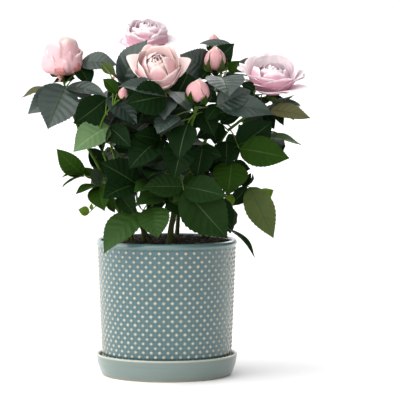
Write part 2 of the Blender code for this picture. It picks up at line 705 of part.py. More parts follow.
def grow_shown_leaf(shoot, crown, share, knot, rows):
    """A leaf that shows in front, with its blades where they were measured."""
    across, height, depth, face, width = rows[0]
    end_tip = seen(across, height, depth)
    route, shape = grow_stalk(shoot, crown, share, knot, end_tip, FACES[face], width,
                              BLADE_STATIONS, SWING_TRIES)
    if route is None:
        return
    shapes = [shape]
    base = point_along(route, SHOWN_PAIR_AT)
    for across, height, depth, face, width in rows[1:]:
        tip = seen(across, height, depth)
        upper = tucked(base, tip, FACES[face], end_tip, SIDE_TUCK)
        shape = grow_side(crown, base, tip, upper, width, BLADE_STATIONS, SWING_TRIES)
        if shape is not None:
            shapes.append(shape)
    keep_leaf(shoot, crown, shapes)


def grow_rule_leaf(shoot, crown, rng, share, azimuth):
    """A compound leaf of up to five blades, by the rule of the shoot."""
    lift = math.radians(rng.uniform(*RULE_LIFT))
    out = Vector((math.cos(azimuth) * math.cos(lift), math.sin(azimuth) * math.cos(lift),
                  math.sin(lift)))
    start = point_along(shoot.route, share)
    knot = start + out * rng.uniform(*RULE_STALK)
    length = rng.uniform(*RULE_BLADE)
    along = (out + Vector((0, 0, rng.uniform(*RULE_DROOP)))).normalized()
    upper = Vector((out.x * RULE_LEAN, out.y * RULE_LEAN, 1.0))
    upper += Vector((rng.uniform(-0.4, 0.4), rng.uniform(-0.4, 0.4), 0.0))
    upper = (upper - along * upper.dot(along)).normalized()
    droops = [rng.uniform(-0.35, 0.05) for _ in range(5)]
    end_tip = knot + (along + Vector((0, 0, droops[0]))).normalized() * length
    if not in_space(end_tip, shoot.space) or in_sky(knot, start) or in_sky(end_tip, knot):
        return False
    route, shape = grow_stalk(shoot, crown, share, knot, end_tip, upper, RULE_WIDTH,
                              RULE_STATIONS, 0)
    if route is None:
        return False
    shapes = [shape]
    plan = [(SIDE_PAIR_AT, side * SIDE_ANGLE, SIDE_SHARE) for side in (1, -1)]
    plan += [(LOWER_PAIR_AT, side * LOWER_ANGLE, LOWER_SHARE) for side in (1, -1)]
    for (at, angle, size), droop in zip(plan, droops[1:]):
        base = point_along(route, at)
        direction = Matrix.Rotation(angle, 3, upper) @ along
        direction = (direction + Vector((0, 0, droop))).normalized()
        tip = base + direction * (length * size)
        if not in_space(tip, shoot.space) or in_sky(tip, base):
            continue
        face = tucked(base, tip, upper, end_tip, SIDE_TUCK)
        shape = grow_side(crown, base, tip, face, RULE_WIDTH, RULE_STATIONS, 0)
        if shape is not None:
            shapes.append(shape)
    if len(shapes) < LEAST_BLADES:
        for shape in shapes:
            shape.free()
        return False
    keep_leaf(shoot, crown, shapes)
    return True


def union_of(name, meshes, solver):
    """The union of closed meshes, as one mesh."""
    first = bpy.data.objects.new(name, meshes[0])
    bpy.context.scene.collection.objects.link(first)
    others = bpy.data.collections.new(name + "_joined")
    bpy.context.scene.collection.children.link(others)
    for index, mesh in enumerate(meshes[1:]):
        others.objects.link(bpy.data.objects.new(name + "_" + str(index), mesh))
    union = first.modifiers.new("union", "BOOLEAN")
    union.operation = "UNION"
    union.operand_type = "COLLECTION"
    union.collection = others
    union.solver = solver
    evaluated = first.evaluated_get(bpy.context.evaluated_depsgraph_get())
    joined = bpy.data.meshes.new_from_object(evaluated)
    for obj in list(others.objects):
        bpy.data.objects.remove(obj, do_unlink=True)
    bpy.data.collections.remove(others)
    bpy.data.objects.remove(first, do_unlink=True)
    return joined


def mesh_volume(mesh):
    shape = bmesh.new()
    shape.from_mesh(mesh)
    volume = shape.calc_volume()
    shape.free()
    return volume


def fuse(name, meshes, colour, collection):
    """One body from overlapping closed meshes: the second solver serves where the first fails."""
    volume = sum(mesh_volume(mesh) for mesh in meshes)
    for solver in ("EXACT", "MANIFOLD"):
        joined = union_of(name, meshes, solver)
        keep_main_body(joined)
        if mesh_volume(joined) > WHOLE_SHARE * volume:
            break
    joined.materials.clear()
    return add_object(name, joined, colour, collection)


def shell_groups(shape):
    """The separate shells of a bmesh, as lists of faces; a shell ends where four faces meet."""
    left = set(shape.faces)
    groups = []
    while left:
        seed = left.pop()
        group = [seed]
        stack = [seed]
        while stack:
            for edge in stack.pop().edges:
                if len(edge.link_faces) != 2:
                    continue
                for face in edge.link_faces:
                    if face in left:
                        left.remove(face)
                        group.append(face)
                        stack.append(face)
        groups.append(group)
    return groups


def shell_volume(group):
    """The volume inside one shell, negative where its faces look inward."""
    total = 0.0
    for face in group:
        corners = [loop.vert.co for loop in face.loops]
        for second, third in zip(corners[1:], corners[2:]):
            total += corners[0].dot(second.cross(third)) / 6
    return total


def keep_main_body(mesh):
    """Fills sealed hollows and drops loose scraps: only the largest shell stays."""
    shape = bmesh.new()
    shape.from_mesh(mesh)
    bmesh.ops.triangulate(shape, faces=shape.faces)
    bmesh.ops.remove_doubles(shape, verts=shape.verts, dist=FINE_WELD)
    bmesh.ops.dissolve_degenerate(shape, edges=shape.edges, dist=FINE_WELD)
    bmesh.ops.triangulate(shape, faces=shape.faces)
    groups = sorted(shell_groups(shape), key=shell_volume)
    for group in groups[:-1]:
        bmesh.ops.delete(shape, geom=group, context="FACES")
    shape.to_mesh(mesh)
    shape.free()


def petal_profile(reach, rise, leans):
    """A petal's side view, scaled to the given reach from the axis and rise above its foot."""
    radius = 0.0
    level = 0.0
    profile = [(radius, level)]
    for step in range(PETAL_ROWS):
        share = (step + 0.5) / PETAL_ROWS
        if share < 0.5:
            lean = leans[0] + (leans[1] - leans[0]) * share * 2
        else:
            lean = leans[1] + (leans[2] - leans[1]) * (share - 0.5) * 2
        radius += math.sin(lean)
        level += math.cos(lean)
        profile.append((radius, level))
    widest = max(point[0] for point in profile)
    highest = max(point[1] for point in profile)
    return [(r * reach / widest, z * rise / highest) for r, z in profile]


def petal_mesh(centre, turn, azimuth, width, profile):
    """One petal: a grid bent to a cup round the bloom's axis, given its thickness."""
    shape = bmesh.new()
    bmesh.ops.create_grid(shape, x_segments=2, y_segments=3, size=1.0)
    for vert in shape.verts:
        across = vert.co.x
        share = PETAL_ROOT + (1 - PETAL_ROOT) * (vert.co.y + 1) / 2
        half = width / 2 * (0.14 + 0.86 * math.sin(math.pi * min(share * 0.72, 1.0)))
        row = share * (1.0 - 0.12 * across ** 2) * PETAL_ROWS
        below = min(int(row), PETAL_ROWS - 1)
        part = row - below
        radius = profile[below][0] * (1 - part) + profile[below + 1][0] * part
        level = profile[below][1] * (1 - part) + profile[below + 1][1] * part
        angle = azimuth + across * half / max(radius, width * 0.30)
        vert.co = (centre + turn @ Vector((radius * math.cos(angle), radius * math.sin(angle),
                                           level))) * MM
    bmesh.ops.recalc_face_normals(shape, faces=shape.faces)
    bmesh.ops.solidify(shape, geom=shape.faces[:], thickness=PETAL_THICKNESS * MM)
    bmesh.ops.recalc_face_normals(shape, faces=shape.faces)
    mesh = bpy.data.meshes.new("petal")
    shape.to_mesh(mesh)
    shape.free()
    return mesh


def heart_mesh(centre, turn, radius, height, point):
    """An egg that stands on the bloom's axis, drawn out to a point at its top."""
    shape = bmesh.new()
    bmesh.ops.create_uvsphere(shape, u_segments=8, v_segments=6, radius=1.0)
    for vert in shape.verts:
        level = vert.co.z
        slim = 1.0 - point * max(level, 0.0) ** 2
        local = Vector((vert.co.x * radius * slim, vert.co.y * radius * slim,
                        (level + 1) * height / 2))
        vert.co = (centre + turn @ local) * MM
    mesh = bpy.data.meshes.new("heart")
    shape.to_mesh(mesh)
    shape.free()
    return mesh


def petal_leans(opened):
    """How far a petal leans out at its foot, its middle and its tip, from the way it has opened."""
    return math.radians(82), math.radians(-4 + 62 * opened), math.radians(-48 + 150 * opened)


def bloom_petals(centre, turn, petals):
    """The outer petals, the upright ones closing over the heart, the opened ones wide and low."""
    meshes = []
    for bearing, opened, reach, rise, width in petals:
        profile = petal_profile(reach, rise, petal_leans(opened))
        meshes.append(petal_mesh(centre, turn, math.radians(bearing), width, profile))
    return meshes


def sepals(centre, turn, radius, height, count):
    """Narrow green leaves that clasp a bud from below."""
    meshes = []
    for index in range(count):
        angle = 2 * math.pi * index / count
        out = Vector((math.cos(angle), math.sin(angle), 0))
        base = centre + turn @ (out * 0.6)
        tip = centre + turn @ (out * radius * 1.04 + Vector((0, 0, height * 0.55)))
        shape = blade_shape(base, tip, turn @ (Vector((0, 0, 1.0)) - out), 0.42, RULE_STATIONS)
        mesh = bpy.data.meshes.new("sepal")
        shape.to_mesh(mesh)
        shape.free()
        meshes.append(mesh)
    return meshes


def twig_route(name, shoot, centre):
    if name == "bud_upper":
        route = [seen(*place) for place in UPPER_BUD_ROUTE]
        return route + [centre]
    top = shoot.route[-1]
    return [top, top.lerp(centre, 0.5), centre]


def trimmed(route, radii, resolution, crown, name):
    """The route cut back at its foot until the tube is clear of all that stands before it."""
    total = sum((b - a).length for a, b in zip(route, route[1:]))
    count = len(route)
    fat_radii = [radius + GAP * 0.9 for radius in radii]
    cut = 0.0
    while cut < total * 0.6:
        share = cut / total
        shorter = [point_along(route, share + (1 - share) * i / (count - 1)) for i in range(count)]
        start = shorter[0] - (shorter[1] - shorter[0]).normalized() * GAP
        fat = tube_mesh(name, [start, *shorter[1:]], fat_radii, resolution)
        if not crown.touched(mesh_tree(fat)):
            return shorter
        cut += TRIM_STEP
    raise ValueError(name + " has no clear foot")


def make_limbs(collection, crown):
    for name, (points, foot, tip, stands_on) in LIMBS.items():
        route = smooth_route([seen(*place) for place in points], STEM_STATIONS)
        radii = taper(foot, tip, STEM_STATIONS)
        if stands_on == "soil":
            route[0].z = SOIL_TOP_HEIGHT + GAP
            route[1].x = (route[0].x + route[1].x) / 2
            radii[0] = foot * ROOT_FLARE
        else:
            route = trimmed(route, radii, 1, crown, name)
        mesh = tube_mesh(name, route, radii, 1)
        if stands_on == "soil":
            flatten_foot(mesh, SOIL_TOP_HEIGHT + GAP)
        crown.add(name, mesh_tree(mesh))
        add_object(name, mesh, "limb", collection)


def flatten_foot(mesh, level):
    """Brings the lowest ring of a limb to one level, the cut at the soil."""
    lowest = min(vert.co.z for vert in mesh.vertices)
    for vert in mesh.vertices:
        if vert.co.z < lowest + FOOT_BAND * MM:
            vert.co.z = level * MM


def make_shoots(crown):
    shoots = {}
    for name, (points, foot, tip, space, _) in SHOOTS.items():
        route = smooth_route([seen(*place) for place in points], STEM_STATIONS)
        radii = taper(foot, tip, STEM_STATIONS)
        route = trimmed(route, radii, 0, crown, name)
        mesh = tube_mesh(name, route, radii, 0)
        shoot = Shoot(name, route, space)
        shoot.meshes.append(mesh)
        crown.add(name, mesh_tree(mesh))
        shoots[name] = shoot
    return shoots


def make_flower(name, place, axis, shoot, twig_radius, crown):
    """The twig of a bloom or bud, where it stands and the turn that its axis gives."""
    centre = seen(*place)
    axis = Vector(axis).normalized()
    turn = Vector((0, 0, 1)).rotation_difference(axis)
    route = twig_route(name, shoot, centre + axis * 2)
    radii = taper(twig_radius, twig_radius * 1.15, len(route))
    route = trimmed(route, radii, 1, crown, name)
    return centre, turn, tube_mesh(name, route, radii, 1)


def make_blooms(collection, crown, shoots):
    for name, row in BLOOMS.items():
        place, axis, radius, height, petals, shoot_name, twig_radius = row
        shoot = shoots[shoot_name]
        centre, turn, twig = make_flower(name, place, axis, shoot, twig_radius, crown)
        meshes = [twig, heart_mesh(centre, turn, radius, height, HEART_POINT)]
        meshes += bloom_petals(centre, turn, petals)
        obj = fuse(name, meshes, "petal", collection)
        crown.add(name, mesh_tree(obj.data))
    for name, row in BUDS.items():
        place, axis, radius, height, count, shoot_name, twig_radius = row
        shoot = shoots[shoot_name]
        centre, turn, twig = make_flower(name, place, axis, shoot, twig_radius, crown)
        meshes = [twig, heart_mesh(centre, turn, radius, height, BUD_POINT)]
        meshes += sepals(centre, turn, radius, height, count)
        obj = fuse(name, meshes, "bud", collection)
        crown.add(name, mesh_tree(obj.data))


def grow_leaves(shoots, crown):
    for name, rows in LEAVES.items():
        for share, knot, blades in rows:
            grow_shown_leaf(shoots[name], crown, share, seen(*knot), blades)
    for index, (name, row) in enumerate(SHOOTS.items()):
        rng = random.Random(100 + index)
        count = row[4]
        tries = 0
        grown = 0
        while grown < count and tries < count * RULE_TRIES:
            share = TRY_SHARE_TOP - TRY_SHARE_SPAN * ((tries * TRY_SHARE_STEP) % 1.0)
            azimuth = GOLDEN_ANGLE * tries + index
            if grow_rule_leaf(shoots[name], crown, rng, share, azimuth):
                grown += 1
            tries += 1


def main():
    clear_scene()
    collection = make_collection("potted_rose")
    make_saucer(collection)
    make_pot(collection)
    make_soil(collection)
    crown = Crown()
    for name in ("pot", "soil"):
        obj = bpy.data.objects[name]
        evaluated = obj.evaluated_get(bpy.context.evaluated_depsgraph_get())
        crown.add(name, mesh_tree(evaluated.to_mesh()))
    make_limbs(collection, crown)
    shoots = make_shoots(crown)
    make_blooms(collection, crown, shoots)
    grow_leaves(shoots, crown)
    for name, shoot in shoots.items():
        colour = "leaf_low" if "low" in name else "leaf"
        fuse(name, shoot.meshes, colour, collection)


main()
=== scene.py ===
"""The looks of a potted miniature rose: glazed pot and saucer, soil, stems, leaves and blossom.

Everything stands in the frame of the solids: metres, +Z up, the front of the plant at -Y and the
origin at the centre of the saucer's underside. Routes and leaf places are in millimetres.
"""

import math
import random
from collections import namedtuple

import bmesh
import bpy
from bpy.props import FloatProperty, FloatVectorProperty, IntProperty, PointerProperty
from mathutils import Matrix, Vector, noise
from mathutils.bvhtree import BVHTree


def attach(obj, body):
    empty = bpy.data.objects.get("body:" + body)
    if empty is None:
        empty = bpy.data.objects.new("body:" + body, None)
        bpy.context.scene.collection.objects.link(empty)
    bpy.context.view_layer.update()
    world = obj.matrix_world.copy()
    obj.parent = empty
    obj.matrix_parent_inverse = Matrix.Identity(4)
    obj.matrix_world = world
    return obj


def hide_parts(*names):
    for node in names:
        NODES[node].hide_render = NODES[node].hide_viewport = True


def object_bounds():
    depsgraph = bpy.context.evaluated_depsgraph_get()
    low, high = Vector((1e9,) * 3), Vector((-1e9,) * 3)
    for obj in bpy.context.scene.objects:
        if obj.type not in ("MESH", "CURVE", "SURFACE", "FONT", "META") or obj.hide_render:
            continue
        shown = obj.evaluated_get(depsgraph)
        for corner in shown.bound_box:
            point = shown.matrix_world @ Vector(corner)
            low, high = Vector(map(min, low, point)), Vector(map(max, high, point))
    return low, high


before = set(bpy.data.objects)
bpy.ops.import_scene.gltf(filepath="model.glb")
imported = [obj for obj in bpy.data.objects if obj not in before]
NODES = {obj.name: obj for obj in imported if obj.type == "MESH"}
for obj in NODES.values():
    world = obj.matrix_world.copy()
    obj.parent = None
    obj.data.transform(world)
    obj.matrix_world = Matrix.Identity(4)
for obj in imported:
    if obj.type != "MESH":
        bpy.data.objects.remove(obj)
CAD_BOX = [list(corner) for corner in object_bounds()]

bl_info = {
    "name": "Potted rose",
    "version": (1, 0, 0),
    "blender": (4, 5, 0),
    "location": "View3D > Sidebar > Rose",
    "description": "Builds the looks of a potted miniature rose on its solids",
    "category": "Object",
}

MM = 0.001

# A seed for each thing that is drawn by chance
SEEDS = {"cane bark": 1, "shoot bark": 2, "crumbs": 3, "chips": 4, "scraps": 5, "dots": 7,
         "prickles": 21, "sepals": 31, "front leaves": 41, "crown leaves": 42, "blooms": 50,
         "buds": 60, "faded": 71, "rule": 100, "second round": 500}

# Height of the soil's top, and the gap between neighbouring pieces
SOIL_TOP = 134.9
GAP = 0.3

# Angles between faces, in degrees, from which an edge looks sharp
SHARP_ON_PETALS = 80
SHARP_ON_LEAVES = 70
SHARP_WHERE_TURNED = 50
SHARP_ON_CRUMBS = 40

# Steps round a turned piece, and how far its corners are softened
TURNED_STEPS = 96
TURNED_CORNER = 0.5

# Saucer: a turned dish
SAUCER_FOOT_RADIUS = 62.5
SAUCER_BASE_RADIUS = 64.8
SAUCER_RIM_RADIUS = 70.5
SAUCER_HEIGHT = 22.0
SAUCER_WALL = 3.0
SAUCER_FLOOR = 4.5

# Cover pot: a turned shell with a plain lip
POT_RIM_RADIUS = 70.3
POT_TOP_RADIUS = 68.4
POT_FOOT_RADIUS = 63.0
POT_RIM_HEIGHT = 136.0
POT_LIP_HEIGHT = 6.5
POT_WALL = 4.6
POT_FLOOR = 6.0

# The crown was measured from in front: a point given as (across, height, depth) is the place
# that covers (across, height) on the plane of the pot's axis, seen from this eye point, and lies
# at depth behind that plane
EYE_ACROSS = 33.2
EYE_DISTANCE = 2800.0
EYE_HEIGHT = 375.4


def seen(across, height, depth):
    scale = (EYE_DISTANCE + depth) / EYE_DISTANCE
    x = EYE_ACROSS + (across - EYE_ACROSS) * scale
    z = EYE_HEIGHT + (height - EYE_HEIGHT) * scale
    return Vector((x, depth, z))


def front_view(point):
    """Where a point appears on the plane of the pot's axis, from the eye point."""
    scale = EYE_DISTANCE / (EYE_DISTANCE + point.y)
    across = EYE_ACROSS + (point.x - EYE_ACROSS) * scale
    height = EYE_HEIGHT + (point.z - EYE_HEIGHT) * scale
    return across, height


# Limbs, each as its route in (across, height, depth), its radius at foot and tip, and whether it
# stands in the soil or on the trunk
LIMBS = {
    "trunk": (((3.5, 134.9, -42), (5.5, 150, -41), (8, 170, -37), (9, 189, -33)), 3.2, 2.7, "soil"),
    "cane_left": (((-37, 134.9, -18), (-43, 148, -19), (-50, 164, -20), (-58, 186, -21),
                   (-67, 207, -22), (-80, 229, -24)), 2.3, 1.5, "soil"),
    "cane_left_front": (((-22, 134.9, -34), (-34, 160, -38), (-49, 190, -46), (-60, 213, -54)),
                        2.0, 1.4, "soil"),
    "cane_low_left": (((-34, 134.9, -27), (-46, 160, -28), (-52, 176, -29)), 1.3, 1.0, "soil"),
    "cane_centre": (((9, 187, -33), (8, 215, -31), (4, 245, -36)), 2.5, 1.9, "trunk"),
    "cane_top": (((9, 182, -31), (2, 205, -14), (-8, 235, -1), (-14, 262, 5)), 2.2, 1.7, "trunk"),
    "cane_right": (((9, 184, -32), (32, 205, -27), (50, 228, -25), (60, 243, -26)),
                   2.2, 1.7, "trunk"),
    "cane_front": (((9, 186, -34), (15, 210, -46), (21, 235, -58), (26, 254, -66)),
                   2.0, 1.6, "trunk"),
    "cane_upper_right": (((9, 178, -33), (26, 205, -8), (41, 240, 4), (48, 262, 6)),
                         2.2, 1.6, "trunk"),
    "cane_back_left": (((-20, 134.9, 20), (-26, 150, 26), (-32, 166, 32)), 2.3, 1.9, "soil"),
    "cane_back": (((10, 134.9, 34), (11, 150, 40), (12, 166, 45)), 2.4, 2.0, "soil"),
    "cane_back_right": (((36, 134.9, 14), (43, 150, 20), (49, 166, 26)), 2.3, 1.9, "soil"),
}

# Stations along a stem, and how much wider a limb is where it enters the soil
STEM_STATIONS = 6
ROOT_FLARE = 1.3

# Steps of a smooth curve between two of its points, and the stations of the modelled stems
CURVE_STEPS = 12
CANE_STATIONS = 40
SHOOT_STATIONS = 36
TWIG_STATIONS = 12
STALK_STATIONS = 7

# Swellings of a leaf scar along a cane, a shoot and a twig, and how much each one swells
CANE_SCARS = 5
SHOOT_SCARS = 7
TWIG_SCARS = 0.3
SCAR_SWELLING = 0.10

# Leafy shoots, the masses of foliage: the stem's route from the limb it stands on, its radius at
# foot and tip, the space it keeps to as centre and half sizes, and how many leaves the rule adds
SHOOTS = {
    "leaves_left": (((-80, 229, -24), (-90, 252, -27), (-98, 275, -28), (-102, 292, -25)),
                    1.4, 1.1, ((-86, 10, 258), (60, 66, 62)), 4),
    "leaves_left_front": (((-60, 213, -54), (-67, 237, -62), (-62, 258, -68), (-49, 273, -74)),
                          1.3, 0.8, ((-56, -52, 240), (52, 54, 64)), 7),
    "leaves_low_left": (((-52, 176, -29), (-60, 187, -34), (-70, 194, -40)),
                        0.9, 0.7, ((-62, -24, 188), (54, 56, 50)), 5),
    "leaves_low_front": (((7, 174, -37), (-4, 177, -45), (-16, 174, -53)),
                         1.1, 0.8, ((-20, -50, 180), (60, 54, 58)), 3),
    "leaves_low_centre": (((9, 180, -35), (8, 196, -48), (13, 212, -58)),
                          1.2, 0.9, ((14, -56, 205), (62, 54, 66)), 7),
    "leaves_low_right": (((9, 166, -38), (28, 171, -39), (50, 177, -40), (68, 184, -41)),
                         1.2, 0.8, ((60, -20, 182), (60, 64, 56)), 5),
    "leaves_centre": (((4, 245, -36), (-2, 268, -42), (-7, 288, -42)),
                      1.8, 1.4, ((-12, -40, 258), (60, 64, 66)), 9),
    "leaves_top": (((-14, 262, 5), (-19, 290, 12), (-21, 311, 18)),
                   1.6, 1.2, ((-22, 26, 270), (60, 66, 66)), 6),
    "leaves_front": (((26, 254, -66), (28, 260, -70), (29, 266, -73)),
                     1.5, 1.7, ((32, -62, 240), (60, 54, 60)), 9),
    "leaves_right": (((60, 243, -26), (78, 257, -25), (94, 268, -23), (101, 275, -18)),
                     1.5, 1.3, ((86, 2, 248), (60, 70, 54)), 6),
    "leaves_upper_right": (((48, 262, 6), (52, 284, 2), (50, 299, -10)),
                           1.5, 1.2, ((44, 24, 276), (56, 66, 60)), 7),
    "leaves_back_left": (((-32, 166, 32), (-44, 196, 44), (-56, 232, 56), (-62, 268, 56)),
                         1.8, 0.9, ((-52, 60, 222), (80, 76, 90)), 7),
    "leaves_back": (((12, 166, 45), (12, 198, 58), (9, 236, 70), (4, 280, 68)),
                    1.9, 0.9, ((8, 72, 232), (76, 76, 94)), 8),
    "leaves_back_right": (((49, 166, 26), (62, 196, 38), (74, 230, 48), (80, 262, 48)),
                          1.8, 0.9, ((70, 52, 220), (76, 76, 86)), 7),
}

# Which way a blade's upper side looks
FACES = {
    "up": (0.0, -0.22, 1.0),
    "half": (0.0, -0.75, 0.66),
    "front": (0.0, -1.0, 0.2),
    "under": (0.1, 0.8, 0.6),
    "left": (-0.9, -0.3, 0.35),
    "right": (0.9, -0.3, 0.35),
    "out_left": (-0.45, -0.75, 0.5),
    "out_right": (0.45, -0.75, 0.5),
}

# Leaves that show in front, by shoot: the share of the stem's length where the leaf springs, its
# knot, where the blades meet, and its blades, the end one first. Each blade is its tip, which
# way it faces, and its width as a share of its length; then the blades' tones
LEAVES = {
    "leaves_left": (
        (0.78, (-100, 288, -38), ((-118, 246, -60, "front", 0.84), (-138, 261.5, -48, "half", 0.55),
                                  (-60, 280, -62, "up", 0.42)), "bbb"),
        (0.62, (-113, 284, 0), ((-144, 279, -10, "up", 0.55), (-106, 262, 36, "up", 0.6)), "nd"),
        (0.97, (-86, 311, -24), ((-49.5, 310, -34, "half", 0.62), (-76, 288.5, -44, "front", 0.8),
                                 (-72, 295, -8, "front", 0.6)), "bdy"),
        (0.03, (-76, 226, -12), ((-58, 199, -8, "front", 0.55),), "d"),
    ),
    "leaves_left_front": (
        (0.72, (-59, 278, -64), ((-29, 251.5, -72, "half", 0.66), (-92, 250, -84, "front", 0.75),
                                 (-30, 286, -60, "half", 0.6)), "bdd"),
        (0.48, (-56, 248.5, -62), ((-93, 223.7, -84, "half", 0.72), (-65, 222, -70, "left", 0.5),
                                   (-36, 228, -84, "half", 0.6)), "ldd"),
        (0.93, (-49, 281, -72), ((-62.7, 295.7, -68, "half", 0.7),), "g"),
        (0.8, (-68, 308, -44), ((-51, 295, -56, "front", 0.5),), "o"),
        (0.2, (-88, 268, -70), ((-62, 262, -84, "half", 0.6),), "d"),
        (0.3, (-52, 228, -50), ((-32, 225, -56, "front", 0.6),), "d"),
    ),
    "leaves_low_left": (
        (0.95, (-84, 199, -40), ((-104, 199.5, -54, "up", 0.35), (-109.7, 224.7, -46, "front", 0.55),
                                 (-104, 188, -58, "up", 0.4)), "ggg"),
        (0.6, (-68, 189, -46), ((-90.7, 183, -62, "up", 0.6), (-63, 165, -68, "half", 0.75),
                                (-72, 208, -54, "under", 0.6)), "ggd"),
        (0.15, (-77, 162, -34), ((-88, 165, -36, "front", 0.85), (-75, 171, -35, "front", 0.6)), "yy"),
        (0.35, (-47, 181, -48), ((-32, 160, -60, "front", 0.72),), "e"),
    ),
    "leaves_low_front": (
        (0.95, (-24.7, 162, -58), ((-64.7, 125.7, -76, "out_left", 0.66),
                                   (-31, 181, -68, "left", 0.4)), "mb"),
        (0.7, (-15, 168, -60), ((-9, 137, -76, "front", 0.86),), "m"),
        (0.3, (0, 180, -40), ((-21, 164, -38, "front", 0.6),), "d"),
        (0.55, (-31, 190, -60), ((-63, 177, -88, "half", 0.75), (-66, 212, -72, "half", 0.7)), "dd"),
    ),
    "leaves_low_centre": (
        (0.85, (17, 184.5, -80), ((60.5, 136.5, -92, "front", 0.72), (-23.7, 187.5, -82, "half", 0.6),
                                  (59.3, 178.5, -98, "half", 0.62)), "eee"),
        (0.97, (18, 236, -78), ((7, 196, -92, "half", 0.75),), "d"),
        (0.92, (36, 228, -62), ((30, 196, -74, "front", 0.75), (55, 218, -66, "front", 0.7)), "dd"),
        (0.5, (-6, 236, -66), ((-38, 207, -88, "half", 0.7), (-31, 240, -88, "half", 0.6)), "dd"),
    ),
    "leaves_low_right": (
        (0.97, (82, 188, -44), ((106.5, 136.5, -62, "front", 0.5), (86.5, 200, -50, "right", 0.5),
                                (63, 168, -46, "front", 0.6)), "odd"),
        (0.8, (88, 174, -22), ((107, 185, -16, "front", 0.6), (110, 165, -12, "front", 0.6)), "yo"),
        (0.5, (44, 178, -54), ((65.5, 146, -68, "half", 0.6),), "d"),
        (0.35, (62, 146, -46), ((89.3, 117.7, -52, "right", 0.35),), "e"),
        (0.62, (65, 213, -44), ((61, 180, -62, "front", 0.96), (36, 206, -44, "half", 0.6),
                                (84, 206, -38, "half", 0.6)), "gdd"),
        (0.75, (60, 234, -32), ((59, 208, -46, "front", 0.85), (70, 239, -16, "front", 0.8)), "de"),
        (0.6, (54, 204, -46), ((44, 186, -58, "front", 0.8),), "d"),
    ),
    "leaves_centre": (
        (0.72, (0, 278, -90), ((-39, 271, -106, "front", 0.85), (-46, 291.5, -100, "up", 0.6)), "db"),
        (0.8, (22, 301, -20), ((3.3, 264.7, -58, "front", 0.62),), "d"),
        (0.5, (-46, 288, -18), ((-21.7, 334.4, -26, "out_left", 0.6),
                                (-69, 309, -52, "up", 0.5)), "bb"),
    ),
    "leaves_front": (
        (0.7, (10, 259, -84), ((-10, 243, -102, "up", 0.9),), "b"),
        (0.35, (36, 262, -60), ((47, 239, -76, "front", 0.75), (17, 246, -70, "front", 0.7),
                                (62, 262, -62, "front", 0.7)), "ddd"),
        (0.95, (53, 268, -70), ((106, 263.5, -72, "half", 0.55), (39, 254, -84, "half", 0.6),
                                (84, 284, -62, "half", 0.65)), "bdb"),
    ),
    "leaves_right": (
        (0.05, (72, 226, -46), ((120.8, 217.3, -64, "front", 0.6), (105, 252, -50, "front", 0.85),
                                (66, 226, -36, "half", 0.6)), "gdd"),
        (0.3, (96, 237, -16), ((133.8, 230.5, -22, "up", 0.55), (112, 214, 8, "up", 0.6)), "le"),
        (0.85, (102, 264, -34), ((142.9, 257, -48, "half", 0.45), (136, 271, -2, "half", 0.3),
                                 (117, 250, -40, "half", 0.7)), "nbd"),
        (0.01, (51, 252, -30), ((48, 230, -34, "front", 0.8), (30, 236, -40, "front", 0.6)), "dd"),
    ),
    "leaves_upper_right": (
        (0.85, (55, 297, -50), ((62, 281.7, -92, "up", 0.85),), "b"),
        (0.55, (42, 303, 0), ((14.6, 319, -12, "front", 0.95), (66, 331, -2, "front", 0.7)), "bd"),
        (0.75, (66, 327, 6), ((32.5, 332, 5, "half", 0.3),), "b"),
        (0.95, (62, 302, -14), ((72, 313, -18, "front", 0.8),), "g"),
    ),
}

# Small young leaves that show in gaps between the others: the shoot, then as above
YOUNG_LEAVES = (
    ("leaves_low_right", 0.85, (66, 179, -50), ((58, 167.5, -54, "front", 0.75),), "y"),
    ("leaves_left_front", 0.9, (-64, 310, -40), ((-50.5, 299, -46, "front", 0.6),), "o"),
    ("leaves_right", 0.1, (53, 252, -32), ((73.5, 258.5, -36, "front", 0.5),), "d"),
    ("leaves_back_left", 0.3, (-73, 197, 20), ((-82, 207, 16, "front", 0.75),), "g"),
    ("leaves_left", 0.7, (-92, 284, 0), ((-74, 278, -4, "front", 0.6),), "b"),
    ("leaves_upper_right", 0.3, (38, 283, -10), ((50, 271.5, -12, "front", 0.8),), "d"),
    ("leaves_left", 0.9, (-91, 296, -14), ((-113, 293, -16, "half", 0.45),), "d"),
    ("leaves_right", 0.6, (88, 284, -46), ((74, 291, -48, "front", 0.7),), "d"),
    ("leaves_upper_right", 0.9, (42, 305, -12), ((33, 294.5, -14, "front", 0.9),), "d"),
    ("leaves_right", 0.4, (98, 260, -10), ((107, 245.5, -12, "front", 0.7),), "d"),
    ("leaves_low_left", 0.3, (-60, 177, -30), ((-51.5, 161.5, -34, "front", 0.5),), "g"),
    ("leaves_low_front", 0.05, (3, 173, -20), ((0, 159, -22, "front", 0.5),), "y"),
    ("leaves_low_right", 0.95, (76, 187, -30), ((84, 201.5, -32, "front", 0.5),), "d"),
)

# Sky that shows through and around the crown from the front, as (left, right, low, high) across
# and height, which the leaves of the rule leave open
SKY_GAPS = (
    (9, 21, 142, 159), (-28, -19, 139, 147), (21, 29, 139, 144), (-54, -43, 168, 176),
    (25, 32, 238, 243), (39, 48, 230, 238), (54, 67, 243, 251), (63, 73, 248, 257),
    (55, 65, 228, 235), (70, 76, 220, 226), (77, 83, 203, 209),
    (-78, -68, 228, 238), (-104, -62, 290, 300), (-88, -48, 304, 420), (-70, -56, 282, 306),
    (54, 60, 171, 185), (64, 78, 170, 190),
    (-250, -112, 0, 243), (-250, -93, 0, 183), (-250, -68, 0, 162), (-250, -107, 288, 450),
    (-250, -144, 0, 450), (110, 250, 0, 213), (123, 250, 0, 225), (92, 250, 0, 160),
    (66, 250, 327, 450), (12, 33, 326, 450), (143, 250, 0, 450),
    (-250, -90, 224, 256), (-90, -72, 205, 232), (106, 250, 236, 253), (86, 110, 192, 211),
    (66, 84, 128, 168),
)

